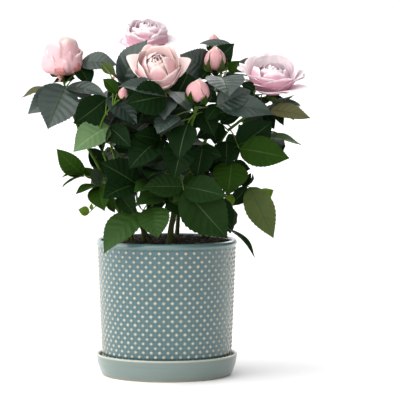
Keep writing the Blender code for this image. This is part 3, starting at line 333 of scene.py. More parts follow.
# How far a blade of the rule, and its tip, keep from those gaps
SKY_MARGIN = 5.0
TIP_MARGIN = 1.0

# Bare trunk and sky that show in front, as (left, right, low, high) across and height, where
# the rule's blades are left out
OPEN_VIEWS = ((-10, 16, 130, 163), (-92, -76, 166, 182), (-94, -78, 188, 195), (62, 72, 150, 166),
              (-147, -130, 262, 276))

# How far a blade of the rule may stand behind the solids' crown
REACH_SPARE = 7.0

# Compound leaf proportions
GOLDEN_ANGLE = math.radians(137.5)
RULE_STALK = (17.0, 32.0)
RULE_BLADE = (38.0, 52.0)
RULE_LIFT = (-25.0, 42.0)
RULE_DROOP = (-0.8, -0.05)
RULE_LEAN = 0.9
RULE_TILT = (-0.4, 0.4)
BLADE_DROOP = (-0.35, 0.05)
MOST_BLADES = 5
LEAST_BLADES = 3
RULE_TRIES = 60
RULE_WIDTH = 0.7
SIDE_SHARE = 0.86
LOWER_SHARE = 0.68
SIDE_ANGLE = math.radians(66)
LOWER_ANGLE = math.radians(78)
SHOWN_PAIR_AT = 0.88
SIDE_PAIR_AT = 0.66
LOWER_PAIR_AT = 0.34
SIDE_TUCK = math.radians(20)
BLADE_ARCH = 0.07
BLADE_KEEL = 0.026
STALK_RADIUS = 0.75
TRIM_STEP = 0.1
SWING_STEP = 5.0
SWING_TRIES = 6
CLEAR_LEAF = 0.35

# Ways in which a stalk may bend between its stem and its blades, as shares of its length
BENDS = (Vector((0, 0, 0.16)), Vector((0, -0.12, 0.05)), Vector((0, 0.16, 0.05)),
         Vector((0.2, 0, 0.0)), Vector((-0.2, 0, 0.0)), Vector((0, 0, -0.16)),
         Vector((0.2, -0.2, 0.2)), Vector((-0.2, -0.2, 0.2)), Vector((0, 0.3, 0.2)))

# Where along its stem each try for a leaf of the rule starts: the steps spread evenly from the top
TRY_SHARE_TOP = 0.98
TRY_SHARE_SPAN = 0.86
TRY_SHARE_STEP = 0.618

# Share of the blade's length, and of its half width, at each station of a blade that shows in
# front and of one that the rule adds
BLADE_STATIONS = ((0.18, 0.74), (0.46, 1.0), (0.78, 0.66))
RULE_STATIONS = ((0.27, 0.94), (0.67, 0.84))

# The grid of a modelled blade: its columns from -1 to 1 across and its rows along, fine where it
# shows in front; how far the side veins slant, and the rows from one vein to the next
FINE_COLUMNS = (-1.0, -0.72, -0.36, -0.03, 0.03, 0.36, 0.72, 1.0)
COARSE_COLUMNS = (-1.0, -0.045, 0.045, 1.0)
FINE_ROWS = 32
COARSE_ROWS = 10
VEIN_SLANT = 0.42
VEIN_ROWS = 4

# What differs from blade to blade: its fold and how far its tip curls down; then the waves of its
# margins, their size, and the length from which a blade has its full relief
FOLD_SPREAD = (-0.10, 0.12)
CURL_SPREAD = (0.0, 0.10)
MARGIN_WAVES = 9
MARGIN_WAVE_SIZE = 0.014
FULL_RELIEF_LENGTH = 40

# A blade's material slots, for each tone in the order of their letters
TOP = 0
RIB = 1
UNDER = 2
SLOTS_EACH = 3
LEAF_TONES = {"d": "dark", "e": "deep", "m": "medium", "g": "fresh", "l": "sage", "b": "sheen",
              "o": "olive", "n": "brown_olive", "y": "bright"}
TONE_LETTERS = "".join(LEAF_TONES)
YOUNG_TONES = "gly"

# Roughness and gloss of a blade's upper side, and of the tones that differ
LEAF_GLOSS = (0.4, 0.09)
TONE_GLOSS = {"b": (0.36, 0.6), "d": (0.42, 0.03), "e": (0.42, 0.03), "g": (0.42, 0.03)}

# Blooms: where the bloom meets its twig, the way the twig points, the reach and rise of its
# sepals, the shoot that it stands on and the twig's radius
BLOOMS = {
    "bloom_left": ((-103.0, 298.5, -20), (-0.04, -0.08, 1.0), 19.0, 11.5, "leaves_left", 1.2),
    "bloom_top": ((-19.5, 320.5, 22), (0.02, -0.34, 0.94), 22.0, 1.6, "leaves_top", 1.3),
    "bloom_centre": ((-7.5, 293.0, -46), (-0.03, -0.55, 0.83), 20.0, 1.6, "leaves_centre", 1.4),
    "bloom_right": ((103.5, 279.5, -14), (0.05, -0.40, 0.91), 24.0, -2.0, "leaves_right", 1.5),
}

# Petals of each bloom: the way it looks; the petals of its heart, their reach and rise, how far
# the last of them has opened, how ruffled and how pointed they are; and the outer petals. An outer
# petal is its bearing round the bloom's axis in degrees (270 is the front), how far it has opened
# (0 upright to 1 flat), its reach from the axis, its rise above the bloom's foot, and its width
BLOOM_PETALS = {
    "bloom_left": ((-0.04, -0.08, 1.0), (12, 15.5, 35.0, 0.1, 2.4, 0.0), (
        (90, 0.0, 18.0, 35.5, 36), (150, 0.05, 18.5, 35.0, 30), (30, 0.05, 18.5, 36.0, 30),
        (228, 0.10, 19.5, 36.5, 28), (292, 0.08, 18.5, 38.5, 30), (322, 0.10, 18.0, 38.5, 31),
        (350, 0.14, 17.8, 33.0, 28), (190, 0.14, 20.0, 30.0, 28), (256, 0.12, 20.3, 29.0, 34),
        (210, 0.18, 21.2, 24.0, 32), (300, 0.14, 20.8, 24.5, 36), (246, 0.18, 21.5, 19.5, 34),
        (352, 0.26, 20.0, 24.0, 26), (120, 0.2, 20.0, 26.0, 34), (50, 0.2, 20.0, 28.0, 34))),
    "bloom_top": ((0.02, -0.34, 0.94), (24, 20.5, 33.5, 0.29, 1.2, 0.0), (
        (203, 0.8, 27.0, 14.3, 34), (7, 0.7, 26.5, 18.4, 34), (285, 0.47, 24.2, 19.4, 40),
        (243, 0.15, 20.5, 27.5, 36), (325, 0.2, 21.0, 26.5, 34), (60, 0.35, 19.6, 30.0, 40),
        (135, 0.35, 19.6, 30.4, 40), (188, 0.95, 29.0, 14.0, 34), (352, 0.85, 28.5, 18.0, 34),
        (270, 0.62, 26.0, 19.0, 40), (228, 0.3, 22.0, 27.0, 36), (310, 0.35, 22.5, 26.0, 34),
        (45, 0.45, 21.0, 28.0, 36), (120, 0.45, 21.0, 28.5, 36))),
    "bloom_centre": ((-0.04, -0.78, 0.62), (18, 19.5, 38.5, 0.04, 0.6, 0.2), (
        (60, 0.55, 25.0, 27.0, 36), (115, 0.55, 25.0, 27.0, 36), (340, 0.3, 23.0, 28.0, 36),
        (215, 0.35, 23.5, 29.0, 40), (152, 0.85, 31.0, 22.0, 30), (14, 0.8, 30.0, 22.0, 30),
        (283, 0.65, 25.0, 24.0, 38), (240, 0.5, 25.0, 26.0, 40), (262, 0.30, 22.5, 32.0, 48),
        (312, 0.24, 22.0, 33.5, 48), (205, 0.2, 20.5, 34.5, 46), (85, 0.4, 21.0, 31.5, 50),
        (20, 0.25, 21.0, 33.0, 48), (160, 0.25, 20.5, 33.0, 46), (182, 0.1, 17.5, 35.5, 44))),
    "bloom_right": ((0.05, -0.24, 0.97), (17, 21.0, 31.0, 0.18, 1.3, 0.0), (
        (90, 0.35, 27.0, 36.5, 44), (50, 0.42, 29.0, 35.0, 42), (130, 0.4, 28.0, 35.5, 42),
        (70, 0.2, 23.0, 35.5, 36), (115, 0.2, 23.0, 35.0, 36), (10, 0.75, 35.0, 25.0, 42),
        (172, 0.7, 33.5, 28.0, 40), (245, 0.42, 27.0, 26.0, 40), (298, 0.45, 28.0, 24.5, 42),
        (345, 0.5, 31.0, 25.0, 40), (200, 0.5, 29.0, 26.0, 40), (222, 0.72, 32.5, 19.0, 44),
        (275, 0.78, 33.0, 12.0, 46), (325, 0.82, 38.0, 14.5, 44))),
}

# Petals that have faded to salmon: the foot that they stand on, its axis and the petals
FADED_PETALS = (
    ((-103.0, 298.5, -20), (-0.04, -0.08, 1.0), ((264, 0.13, 21.9, 15.0, 13),
                                                (322, 0.15, 21.5, 18.0, 13))),
    ((-107.0, 300.0, -29), (-0.35, -0.4, -0.85), ((250, 0.1, 5.0, 7.5, 11),
                                                  (330, 0.2, 5.0, 6.0, 9))),
    ((-54.5, 293.5, -58), (0.5, -0.3, 0.8), ((270, 0.0, 1.6, 5.5, 5), (90, 0.0, 1.6, 5.0, 5))),
)

# The peachy blooms, whose petals are warmer and paler on their backs
WARM_BLOOMS = ("bloom_left", "bloom_centre")

# A bloom's sepals, their width as a share of their length, and the radius and height of the
# swelling below the bloom
SEPALS = 5
SEPAL_WIDTH = 0.46
BLOOM_HIP = (3.6, 6.5)

# Buds: where the bud meets its twig, its axis, radius and height, its sepals, its shoot and the
# twig's radius
BUDS = {
    "bud_middle": ((48.5, 301.5, -16), (0.0, -0.08, 1.0), 11.5, 28.0, 5, "leaves_upper_right", 1.2),
    "bud_front": ((30.5, 271.0, -76), (0.10, -0.15, 1.0), 12.6, 26.0, 5, "leaves_front", 1.8),
    "bud_small": ((-44.0, 274.5, -78), (0.12, -0.2, 1.0), 5.2, 13.5, 4, "leaves_left_front", 0.8),
    "bud_upper": ((47.0, 322.0, 16), (0.0, 0.0, 1.0), 7.0, 19.5, 5, "leaves_upper_right", 1.0),
}

# The upper bud's twig leaves its shoot's side here and rises behind the leaves
UPPER_BUD_ROUTE = ((53, 281, 6), (54, 300, 16), (49, 314, 17))

# The rule's second round: smaller leaves that fill what the first round left open
EXTRA_LEAVES = 40
EXTRA_TRIES = 36
EXTRA_LEAST = 1

# Tones of the rule's leaves change at these heights
LOW_TONE_BELOW = 200.0
HIGH_TONE_ABOVE = 262.0

# A petal's rows, the share of its length that is left out at its root, and its thickness
PETAL_ROWS = 16
PETAL_ROOT = 0.2
PETAL_SHEET = 0.35

# Columns and rows of the modelled petals, and the petals of a bud
BLOOM_GRID = (10, 10)
FADED_GRID = (8, 8)
BUD_GRID = (6, 9)
BUD_PETALS = 6

# Shares of a petal's length from which its margin rolls out and from which it droops
ROLL_FROM = 0.72
DROOP_FROM = 0.80

# How far crumbs keep from the pot's wall, the share of the soil's radius up to which it is level,
# and its fall beyond that
SOIL_MARGIN = 2.5
SOIL_LEVEL_SHARE = 0.75
SOIL_FALL = 7.0

# Heights from which canes, shoots and leaf stalks look older towards the soil
CANE_AGE_HEIGHT = 190.0
SHOOT_AGE_HEIGHT = 230.0
STALK_AGE_HEIGHT = 200.0

# Light and dark colours of the bark chips, the leaf scraps and the prickles
CHIP_COLOURS = ((0.10, 0.060, 0.030), (0.035, 0.022, 0.012))
SCRAP_COLOURS = ((0.16, 0.13, 0.05), (0.07, 0.06, 0.02))
PRICKLE_COLOURS = ((0.30, 0.16, 0.08), (0.20, 0.12, 0.05))

# Camera, with its aim on the pot's axis
CAMERA_LENS = 253.6
CAMERA_SENSOR = 36.0
CAMERA_AIM_HEIGHT = 174.5

# Height at which the lights are aimed; each light's place in metres, how wide it looks in degrees,
# and the setting of its power
LIGHT_AIM_HEIGHT = 170.0
LIGHTS = (
    ("key", (-1.5, -0.95, 1.4), 80, "key"),
    ("fill", (0.5, -1.2, 0.9), 60, "fill"),
    ("back", (0.4, 1.2, 1.0), 30, "fill"),
)


def part_lengths(route):
    return [(b - a).length for a, b in zip(route, route[1:])]


def point_along(route, share):
    """The point at a share of a route's length."""
    lengths = part_lengths(route)
    left = share * sum(lengths)
    for start, end, length in zip(route, route[1:], lengths):
        if left <= length:
            return start.lerp(end, left / length)
        left -= length
    return route[-1].copy()


def smooth_route(points, count):
    """Points at even shares along a smooth curve through the given ones."""
    knots = [points[0] * 2 - points[1], *points, points[-1] * 2 - points[-2]]
    dense = []
    for i in range(1, len(knots) - 2):
        before, start, end, after = knots[i - 1:i + 3]
        for step in range(CURVE_STEPS):
            t = step / CURVE_STEPS
            dense.append(0.5 * (2 * start + (end - before) * t
                                + (2 * before - 5 * start + 4 * end - after) * t ** 2
                                + (3 * start - before - 3 * end + after) * t ** 3))
    dense.append(points[-1].copy())
    return [point_along(dense, i / (count - 1)) for i in range(count)]


def taper(first, last, count):
    return [first + (last - first) * i / (count - 1) for i in range(count)]


def tube_mesh(name, strands, resolution):
    """One mesh of closed tubes from bevelled curves; a strand is its route and its radii."""
    curve = bpy.data.curves.new(name, "CURVE")
    curve.dimensions = "3D"
    curve.bevel_depth = MM
    curve.bevel_resolution = resolution
    curve.use_fill_caps = True
    curve.twist_mode = "MINIMUM"
    for route, radii in strands:
        spline = curve.splines.new("POLY")
        spline.points.add(len(route) - 1)
        for point, place, radius in zip(spline.points, route, radii):
            point.co = (*(place * MM), 1.0)
            point.radius = radius
    guide = bpy.data.objects.new(name, curve)
    bpy.context.scene.collection.objects.link(guide)
    evaluated = guide.evaluated_get(bpy.context.evaluated_depsgraph_get())
    mesh = bpy.data.meshes.new_from_object(evaluated)
    bpy.data.objects.remove(guide, do_unlink=True)
    bpy.data.curves.remove(curve)
    shape = bmesh.new()
    shape.from_mesh(mesh)
    bmesh.ops.remove_doubles(shape, verts=shape.verts, dist=0.00002)
    bmesh.ops.recalc_face_normals(shape, faces=shape.faces)
    shape.to_mesh(mesh)
    shape.free()
    return mesh


def mesh_tree(mesh):
    """A search tree of a mesh, in metres."""
    shape = bmesh.new()
    shape.from_mesh(mesh)
    tree = BVHTree.FromBMesh(shape)
    shape.free()
    return tree


def blade_frame(base, tip, face):
    """The blade's length direction, upper side and width direction."""
    along = (tip - base).normalized()
    upper = Vector(face)
    upper = upper - along * upper.dot(along)
    if upper.length < 0.2:
        upper = along.orthogonal()
    upper.normalize()
    return along, upper, along.cross(upper)


def blade_rings(base, tip, face, width, stations, thicker):
    along, upper, across = blade_frame(base, tip, face)
    length = (tip - base).length
    rings = []
    for share, half_share in stations:
        half = half_share * width * length / 2 + thicker
        centre = base + along * (share * length)
        centre += upper * (BLADE_ARCH * length * 4 * share * (1 - share) + thicker)
        keel = centre - upper * (BLADE_KEEL * length + thicker * 2)
        rings.append((centre + across * half, keel, centre - across * half))
    return rings


def root_ring(base, along, upper, radius):
    across = along.cross(upper) * (radius * math.sin(math.pi / 3))
    raised = base + upper * (radius * math.cos(math.pi / 3))
    return (raised + across, base - upper * radius, raised - across)


def loft_tree(rings, tip):
    """A search tree of the space that a stalk or blade takes."""
    points = [point * MM for ring in rings for point in ring]
    points.append(tip * MM)
    faces = [(0, 1, 2)]
    for start in range(0, 3 * (len(rings) - 1), 3):
        for side in range(3):
            after = (side + 1) % 3
            faces.append((start + side, start + after, start + after + 3, start + side + 3))
    start = 3 * (len(rings) - 1)
    for side in range(3):
        faces.append((start + side, start + (side + 1) % 3, len(points) - 1))
    return BVHTree.FromPolygons(points, faces)


def blade_tree(base, tip, face, width, stations, thicker=0.0):
    along, upper, _ = blade_frame(base, tip, face)
    rings = [root_ring(base, along, upper, STALK_RADIUS + thicker)]
    rings += blade_rings(base, tip, face, width, stations, thicker)
    return loft_tree(rings, tip)


def stalk_tree(route, tip, face, width, stations, thicker=0.0):
    _, upper, _ = blade_frame(route[-1], tip, face)
    path = [*route, tip]
    rings = []
    for index in range(len(route) - 1, -1, -1):
        along = (path[index + 1] - path[index]).normalized()
        if index > 0:
            along += (path[index] - path[index - 1]).normalized()
            along.normalize()
        upper = (upper - along * upper.dot(along)).normalized()
        rings.insert(0, root_ring(path[index], along, upper, STALK_RADIUS + thicker))
    rings += blade_rings(route[-1], tip, face, width, stations, thicker)
    return loft_tree(rings, tip)


Blade = namedtuple("Blade", "base tip face width tone shown")


class Plant:
    """The plant while it grows: what stands in the crown, and what is to be modelled."""

    def __init__(self):
        self.pieces = []
        self.limbs = {}
        self.shoots = {}
        self.twigs = []
        self.stalks = []
        self.blades = []

    def add(self, key, tree):
        self.pieces.append((key, tree))

    def touched(self, tree, spare=()):
        return any(key not in spare and tree.overlap(other) for key, other in self.pieces)


def in_sky(tip, base):
    """Whether a blade would cover sky that shows through or around the crown."""
    for share in (0.25, 0.5, 0.75, 1.0):
        across, height = front_view(base.lerp(tip, share))
        for left, right, low, high in SKY_GAPS:
            margin = SKY_MARGIN if share < 0.9 else TIP_MARGIN
            if left - margin < across < right + margin and low - margin < height < high + margin:
                return True
    return False


def in_space(point, space):
    centre, half = space
    offset = point - Vector(centre)
    return sum((offset[i] / half[i]) ** 2 for i in range(3)) <= 1.0


def stalk_route(start, knot, bend):
    middle = (start + knot) / 2 + bend * (knot - start).length
    return [start, start.lerp(middle, 0.5).lerp(middle.lerp(knot, 0.5), 0.5), knot]


def swings(steps):
    """Offsets that move a blade's tip forward and back by growing steps."""
    yield 0.0
    for step in range(1, steps + 1):
        yield -SWING_STEP * step
        yield SWING_STEP * step


def swung(tip, offset):
    """The tip moved in depth, still in its place as seen from in front."""
    across, height = front_view(tip)
    return seen(across, height, tip.y + offset)


def grow_stalk(plant, shoot, share, knot, tip, face, width, stations, steps):
    """The stalk's route and the end blade's tip, the first way that is clear."""
    start = point_along(plant.shoots[shoot], share)
    for offset in swings(steps):
        place = swung(tip, offset)
        for bend in BENDS:
            route = stalk_route(start, knot, bend)
            trial = stalk_tree(route, place, face, width, stations, CLEAR_LEAF)
            if not plant.touched(trial, (shoot,)):
                return route, place
    return None, None


def tucked(base, tip, face, end_tip, side_down):
    """The blade's face turned so that its edge next to the end blade dips under that blade."""
    along, upper, across = blade_frame(base, tip, face)
    towards = across.dot(end_tip - base)
    return Matrix.Rotation(math.copysign(side_down, towards), 3, along) @ upper


def grow_side(plant, base, tip, face, width, stations, steps):
    """A side blade's tip, swung in depth until it is clear, or None."""
    for offset in swings(steps):
        place = swung(tip, offset)
        if not plant.touched(blade_tree(base, place, face, width, stations, CLEAR_LEAF)):
            return place
    return None


def keep_leaf(plant, route, blades, stations):
    """Adds a grown leaf; a blade is its base, tip, face, width and tone, the end one first."""
    key = "leaf_" + str(len(plant.stalks))
    plant.stalks.append(route)
    for index, (base, tip, face, width, tone) in enumerate(blades):
        if index == 0:
            plant.add(key, stalk_tree(route, tip, face, width, stations))
        else:
            plant.add(key, blade_tree(base, tip, face, width, stations))
        plant.blades.append(Blade(base, tip, face, width, tone, stations is BLADE_STATIONS))


def grow_shown_leaf(plant, shoot, share, knot, rows, tones):
    """A leaf that shows in front, with its blades where they were measured."""
    across, height, depth, face, width = rows[0]
    aim = seen(across, height, depth)
    route, end_tip = grow_stalk(plant, shoot, share, knot, aim, FACES[face], width,
                                BLADE_STATIONS, SWING_TRIES)
    if route is None:
        return
    blades = [(route[-1], end_tip, FACES[face], width, tones[0])]
    base = point_along(route, SHOWN_PAIR_AT)
    for (across, height, depth, face, width), tone in zip(rows[1:], tones[1:]):
        tip = seen(across, height, depth)
        upper = tucked(base, tip, FACES[face], aim, SIDE_TUCK)
        place = grow_side(plant, base, tip, upper, width, BLADE_STATIONS, SWING_TRIES)
        if place is not None:
            blades.append((base, place, upper, width, tone))
    keep_leaf(plant, route, blades, BLADE_STATIONS)


def rule_tone(knot, rng):
    """Fresher green low in the crown, very dark above, with some odd leaves."""
    if knot.z < LOW_TONE_BELOW:
        return rng.choice("emmed")
    if knot.z < HIGH_TONE_ABOVE:
        return rng.choice("dddem")
    return rng.choice("ddbdb")


def grow_rule_leaf(plant, shoot, rng, share, azimuth, least):
    """A compound leaf of up to five blades, by the rule of the shoot."""
    space = SHOOTS[shoot][3]
    lift = math.radians(rng.uniform(*RULE_LIFT))
    out = Vector((math.cos(azimuth) * math.cos(lift), math.sin(azimuth) * math.cos(lift),
                  math.sin(lift)))
    start = point_along(plant.shoots[shoot], share)
    knot = start + out * rng.uniform(*RULE_STALK)
    length = rng.uniform(*RULE_BLADE)
    along = (out + Vector((0, 0, rng.uniform(*RULE_DROOP)))).normalized()
    upper = Vector((out.x * RULE_LEAN, out.y * RULE_LEAN, 1.0))
    upper += Vector((rng.uniform(*RULE_TILT), rng.uniform(*RULE_TILT), 0.0))
    upper = (upper - along * upper.dot(along)).normalized()
    droops = [rng.uniform(*BLADE_DROOP) for _ in range(MOST_BLADES)]
    end_tip = knot + (along + Vector((0, 0, droops[0]))).normalized() * length
    if not in_space(end_tip, space) or in_sky(knot, start) or in_sky(end_tip, knot):
        return False
    route, _ = grow_stalk(plant, shoot, share, knot, end_tip, upper, RULE_WIDTH, RULE_STATIONS, 0)
    if route is None:
        return False
    tone = rule_tone(knot, random.Random(len(plant.stalks)))
    blades = [(knot, end_tip, upper, RULE_WIDTH, tone)]
    plan = [(SIDE_PAIR_AT, side * SIDE_ANGLE, SIDE_SHARE) for side in (1, -1)]
    plan += [(LOWER_PAIR_AT, side * LOWER_ANGLE, LOWER_SHARE) for side in (1, -1)]
    for (at, angle, size), droop in zip(plan, droops[1:]):
        base = point_along(route, at)
        direction = Matrix.Rotation(angle, 3, upper) @ along
        direction = (direction + Vector((0, 0, droop))).normalized()
        tip = base + direction * (length * size)
        if not in_space(tip, space) or in_sky(tip, base):
            continue
        face = tucked(base, tip, upper, end_tip, SIDE_TUCK)
        if grow_side(plant, base, tip, face, RULE_WIDTH, RULE_STATIONS, 0) is not None:
            blades.append((base, tip, face, RULE_WIDTH, tone))
    if len(blades) < least:
        return False
    keep_leaf(plant, route, blades, RULE_STATIONS)
    return True


def grow_by_rule(plant, seed, counts, tries_each, least):
    for index, name in enumerate(SHOOTS):
        rng = random.Random(seed + index)
        tries = 0
        grown = 0
        while grown < counts[name] and tries < counts[name] * tries_each:
            share = TRY_SHARE_TOP - TRY_SHARE_SPAN * ((tries * TRY_SHARE_STEP) % 1.0)
            azimuth = GOLDEN_ANGLE * tries + index
            if grow_rule_leaf(plant, name, rng, share, azimuth, least):
                grown += 1
            tries += 1


def trimmed(route, radii, resolution, plant, name):
    """The route cut back at its foot until the tube is clear of all that stands before it."""
    total = sum(part_lengths(route))
    count = len(route)
    fat_radii = [radius + GAP * 0.9 for radius in radii]
    cut = 0.0
    while cut < total * 0.6:
        share = cut / total
        shorter = [point_along(route, share + (1 - share) * i / (count - 1)) for i in range(count)]
        start = shorter[0] - (shorter[1] - shorter[0]).normalized() * GAP
        fat = tube_mesh(name, [([start, *shorter[1:]], fat_radii)], resolution)
        if not plant.touched(mesh_tree(fat)):
            return shorter
        cut += TRIM_STEP
    raise ValueError(name + " has no clear foot")


def flower_twig(name, row, plant):
    """The twig that carries a bloom or bud: its route and radii."""
    centre, turn = bloom_place(row)
    shoot, radius = row[-2:]
    foot = centre + turn @ Vector((0, 0, 2.0))
    if name == "bud_upper":
        route = [*[seen(*place) for place in UPPER_BUD_ROUTE], foot]
    else:
        top = plant.shoots[shoot][-1]
        route = [top, top.lerp(foot, 0.5), foot]
    return route, taper(radius, radius * 1.15, len(route))


def grow_plant():
    """The whole plant by the same rule, seeds and order as its solids, then finer leaves."""
    plant = Plant()
    for name in ("pot", "soil"):
        plant.add(name, mesh_tree(NODES[name].data))
    for name, (points, foot, tip, stands_on) in LIMBS.items():
        route = smooth_route([seen(*place) for place in points], STEM_STATIONS)
        radii = taper(foot, tip, STEM_STATIONS)
        if stands_on == "soil":
            route[0].z = SOIL_TOP
            route[1].x = (route[0].x + route[1].x) / 2
            radii[0] = foot * ROOT_FLARE
        else:
            route = trimmed(route, radii, 1, plant, name)
        plant.limbs[name] = (route, radii)
        plant.add(name, mesh_tree(NODES[name].data))
    for name, (points, foot, tip, space, _) in SHOOTS.items():
        route = smooth_route([seen(*place) for place in points], STEM_STATIONS)
        radii = taper(foot, tip, STEM_STATIONS)
        route = trimmed(route, radii, 0, plant, name)
        plant.shoots[name] = route
        plant.add(name, mesh_tree(tube_mesh(name, [(route, radii)], 0)))
    for name, row in (*BLOOMS.items(), *BUDS.items()):
        plant.twigs.append(flower_twig(name, row, plant))
        plant.add(name, mesh_tree(NODES[name].data))
    for name, rows in LEAVES.items():
        for share, knot, blades, tones in rows:
            grow_shown_leaf(plant, name, share, seen(*knot), blades, tones)
    counts = {name: row[4] for name, row in SHOOTS.items()}
    grow_by_rule(plant, SEEDS["rule"], counts, RULE_TRIES, LEAST_BLADES)
    extra = {name: EXTRA_LEAVES for name in SHOOTS}
    grow_by_rule(plant, SEEDS["second round"], extra, EXTRA_TRIES, EXTRA_LEAST)
    for shoot, share, knot, blades, tones in YOUNG_LEAVES:
        grow_shown_leaf(plant, shoot, share, seen(*knot), blades, tones)
    return plant


class Finish:
    """A material while its nodes are being joined up."""

    def __init__(self, name, roughness):
        self.material = bpy.data.materials.new(name)
        self.material.use_nodes = True
        self.tree = self.material.node_tree
        self.shader = self.tree.nodes["Principled BSDF"]
        self.set("Roughness", roughness)
        self.place = self.add("ShaderNodeTexCoord").outputs["Object"]

    def add(self, kind, **settings):
        node = self.tree.nodes.new(kind)
        for name, value in settings.items():
            setattr(node, name, value)
        return node

    def feed(self, node, name, value):
        """Joins an output to an input, or sets the input where the value is a constant."""
        if isinstance(value, bpy.types.NodeSocket):
            self.tree.links.new(value, node.inputs[name])
        else:
            node.inputs[name].default_value = value

    def set(self, name, value):
        self.feed(self.shader, name, value)

    def maths(self, operation, first, second=0.0):
        node = self.add("ShaderNodeMath", operation=operation)
        self.feed(node, 0, first)
        self.feed(node, 1, second)
        return node.outputs[0]

    def noise(self, scale, detail=3.0, place=None):
        node = self.add("ShaderNodeTexNoise")
        self.feed(node, "Vector", place or self.place)
        self.feed(node, "Scale", scale)
        self.feed(node, "Detail", detail)
        return node.outputs["Fac"]

    def stretched(self, x, y, z):
        """The object's coordinates scaled by axis."""
        node = self.add("ShaderNodeMapping")
        self.feed(node, "Vector", self.place)
        self.feed(node, "Scale", (x, y, z))
        return node.outputs["Vector"]

    def axis(self, letter):
        node = self.add("ShaderNodeSeparateXYZ")
        self.feed(node, "Vector", self.place)
        return node.outputs[letter]

    def attribute(self, name):
        return self.add("ShaderNodeAttribute", attribute_name=name).outputs["Fac"]

    def ramp(self, factor, *stops):
        """A colour ramp through (position, colour) stops."""
        node = self.add("ShaderNodeValToRGB")
        elements = node.color_ramp.elements
        while len(elements) < len(stops):
            elements.new(0.5)
        for element, (position, rgb) in zip(elements, stops):
            element.position = position
            element.color = (*rgb, 1.0)
        self.feed(node, "Fac", factor)
        return node.outputs["Color"]

    def range(self, value, low, high, new_low=0.0, new_high=1.0):
        node = self.add("ShaderNodeMapRange")
        for name, part in zip(("Value", "From Min", "From Max", "To Min", "To Max"),
                              (value, low, high, new_low, new_high)):
            self.feed(node, name, part)
        return node.outputs["Result"]

    def mix(self, factor, first, second):
        """Two colours mixed; a constant colour is (red, green, blue)."""
        node = self.add("ShaderNodeMix", data_type="RGBA")
        self.feed(node, "Factor", factor)
        for index, value in ((6, first), (7, second)):
            constant = not isinstance(value, bpy.types.NodeSocket)
            self.feed(node, index, (*value, 1.0) if constant else value)
        return node.outputs[2]

    def colour(self, value):
        self.set("Base Color", value)

    def coat(self, weight, roughness):
        self.set("Coat Weight", weight)
        self.set("Coat Roughness", roughness)

    def bump(self, height, distance, strength=1.0):
        node = self.add("ShaderNodeBump")
        self.feed(node, "Height", height)
        self.feed(node, "Distance", distance)
        self.feed(node, "Strength", strength)
        self.set("Normal", node.outputs["Normal"])


def shade(rgb, factor):
    return tuple(min(part * factor, 1.0) for part in rgb)


def make_pot_glaze(settings):
    """Teal glaze, darker round the raised dots, with a painted highlight along the rim's edge."""
    finish = Finish("teal pot glaze", 0.22)
    x, y, z = finish.axis("X"), finish.axis("Y"), finish.axis("Z")
    around = finish.maths("ARCTAN2", y, x)
    column = finish.maths("COSINE", finish.maths("MULTIPLY", around, settings.dots_per_ring))
    level = finish.maths("SUBTRACT", z, settings.first_row)
    row = finish.maths("COSINE", finish.maths("MULTIPLY", level, math.pi / settings.row_pitch))
    lattice = finish.maths("MULTIPLY", column, row)
    near_dot = finish.range(lattice, -0.15, 0.75)
    glaze = finish.mix(finish.noise(14.0), shade(settings.glaze, 0.82), shade(settings.glaze, 1.2))
    pooled = finish.mix(near_dot, glaze, shade(settings.glaze, 0.42))
    lip_foot = POT_RIM_HEIGHT - POT_LIP_HEIGHT
    lip = finish.range(z, lip_foot * MM, (lip_foot + 1.5) * MM)
    body = finish.mix(lip, pooled, settings.lip_glaze)
    # Painted highlight: the top 1.6 mm of the rim is mixed towards a much paler teal
    edge = finish.range(z, (POT_RIM_HEIGHT - 1.6) * MM, POT_RIM_HEIGHT * MM)
    finish.colour(finish.mix(edge, body, shade(settings.glaze, 2.2)))
    finish.bump(finish.noise(90.0, 4.0), 0.00025, 0.5)
    finish.coat(0.55, 0.22)
    return finish.material


def make_dot_glaze(settings):
    finish = Finish("cream dot glaze", 0.3)
    finish.colour(finish.ramp(finish.noise(160.0), (0.3, shade(settings.dot_colour, 0.8)),
                              (0.7, shade(settings.dot_colour, 1.12))))
    finish.bump(finish.noise(700.0), 0.0001)
    return finish.material


def make_saucer_glaze(settings):
    """Sage glaze with faint turning streaks, worn cream at the rim and tan at the foot."""
    finish = Finish("sage saucer glaze", 0.3)
    z = finish.axis("Z")
    streaks = finish.noise(20.0, 4.0, finish.stretched(1.0, 1.0, 40.0))
    sage = finish.mix(streaks, shade(settings.glaze, 0.86), shade(settings.glaze, 1.12))
    worn = finish.range(z, (SAUCER_HEIGHT - 2.4) * MM, (SAUCER_HEIGHT - 1.2) * MM)
    rimmed = finish.mix(worn, sage, settings.worn_edge)
    foot = finish.range(z, 0.0009, 0.0019)
    finish.colour(finish.mix(foot, settings.bare_clay, rimmed))
    finish.set("Roughness", finish.range(foot, 0.0, 1.0, 0.8, 0.28))
    finish.bump(finish.noise(60.0, 4.0), 0.0003, 0.5)
    finish.coat(0.25, 0.2)
    return finish.material


def make_grain(name, light, dark, scale, roughness=0.9):
    """A dull mottled finish for soil, crumbs and scraps."""
    finish = Finish(name, roughness)
    finish.colour(finish.ramp(finish.noise(scale, 6.0), (0.35, dark), (0.65, light)))
    finish.bump(finish.noise(scale * 3, 6.0), 0.001)
    return finish.material


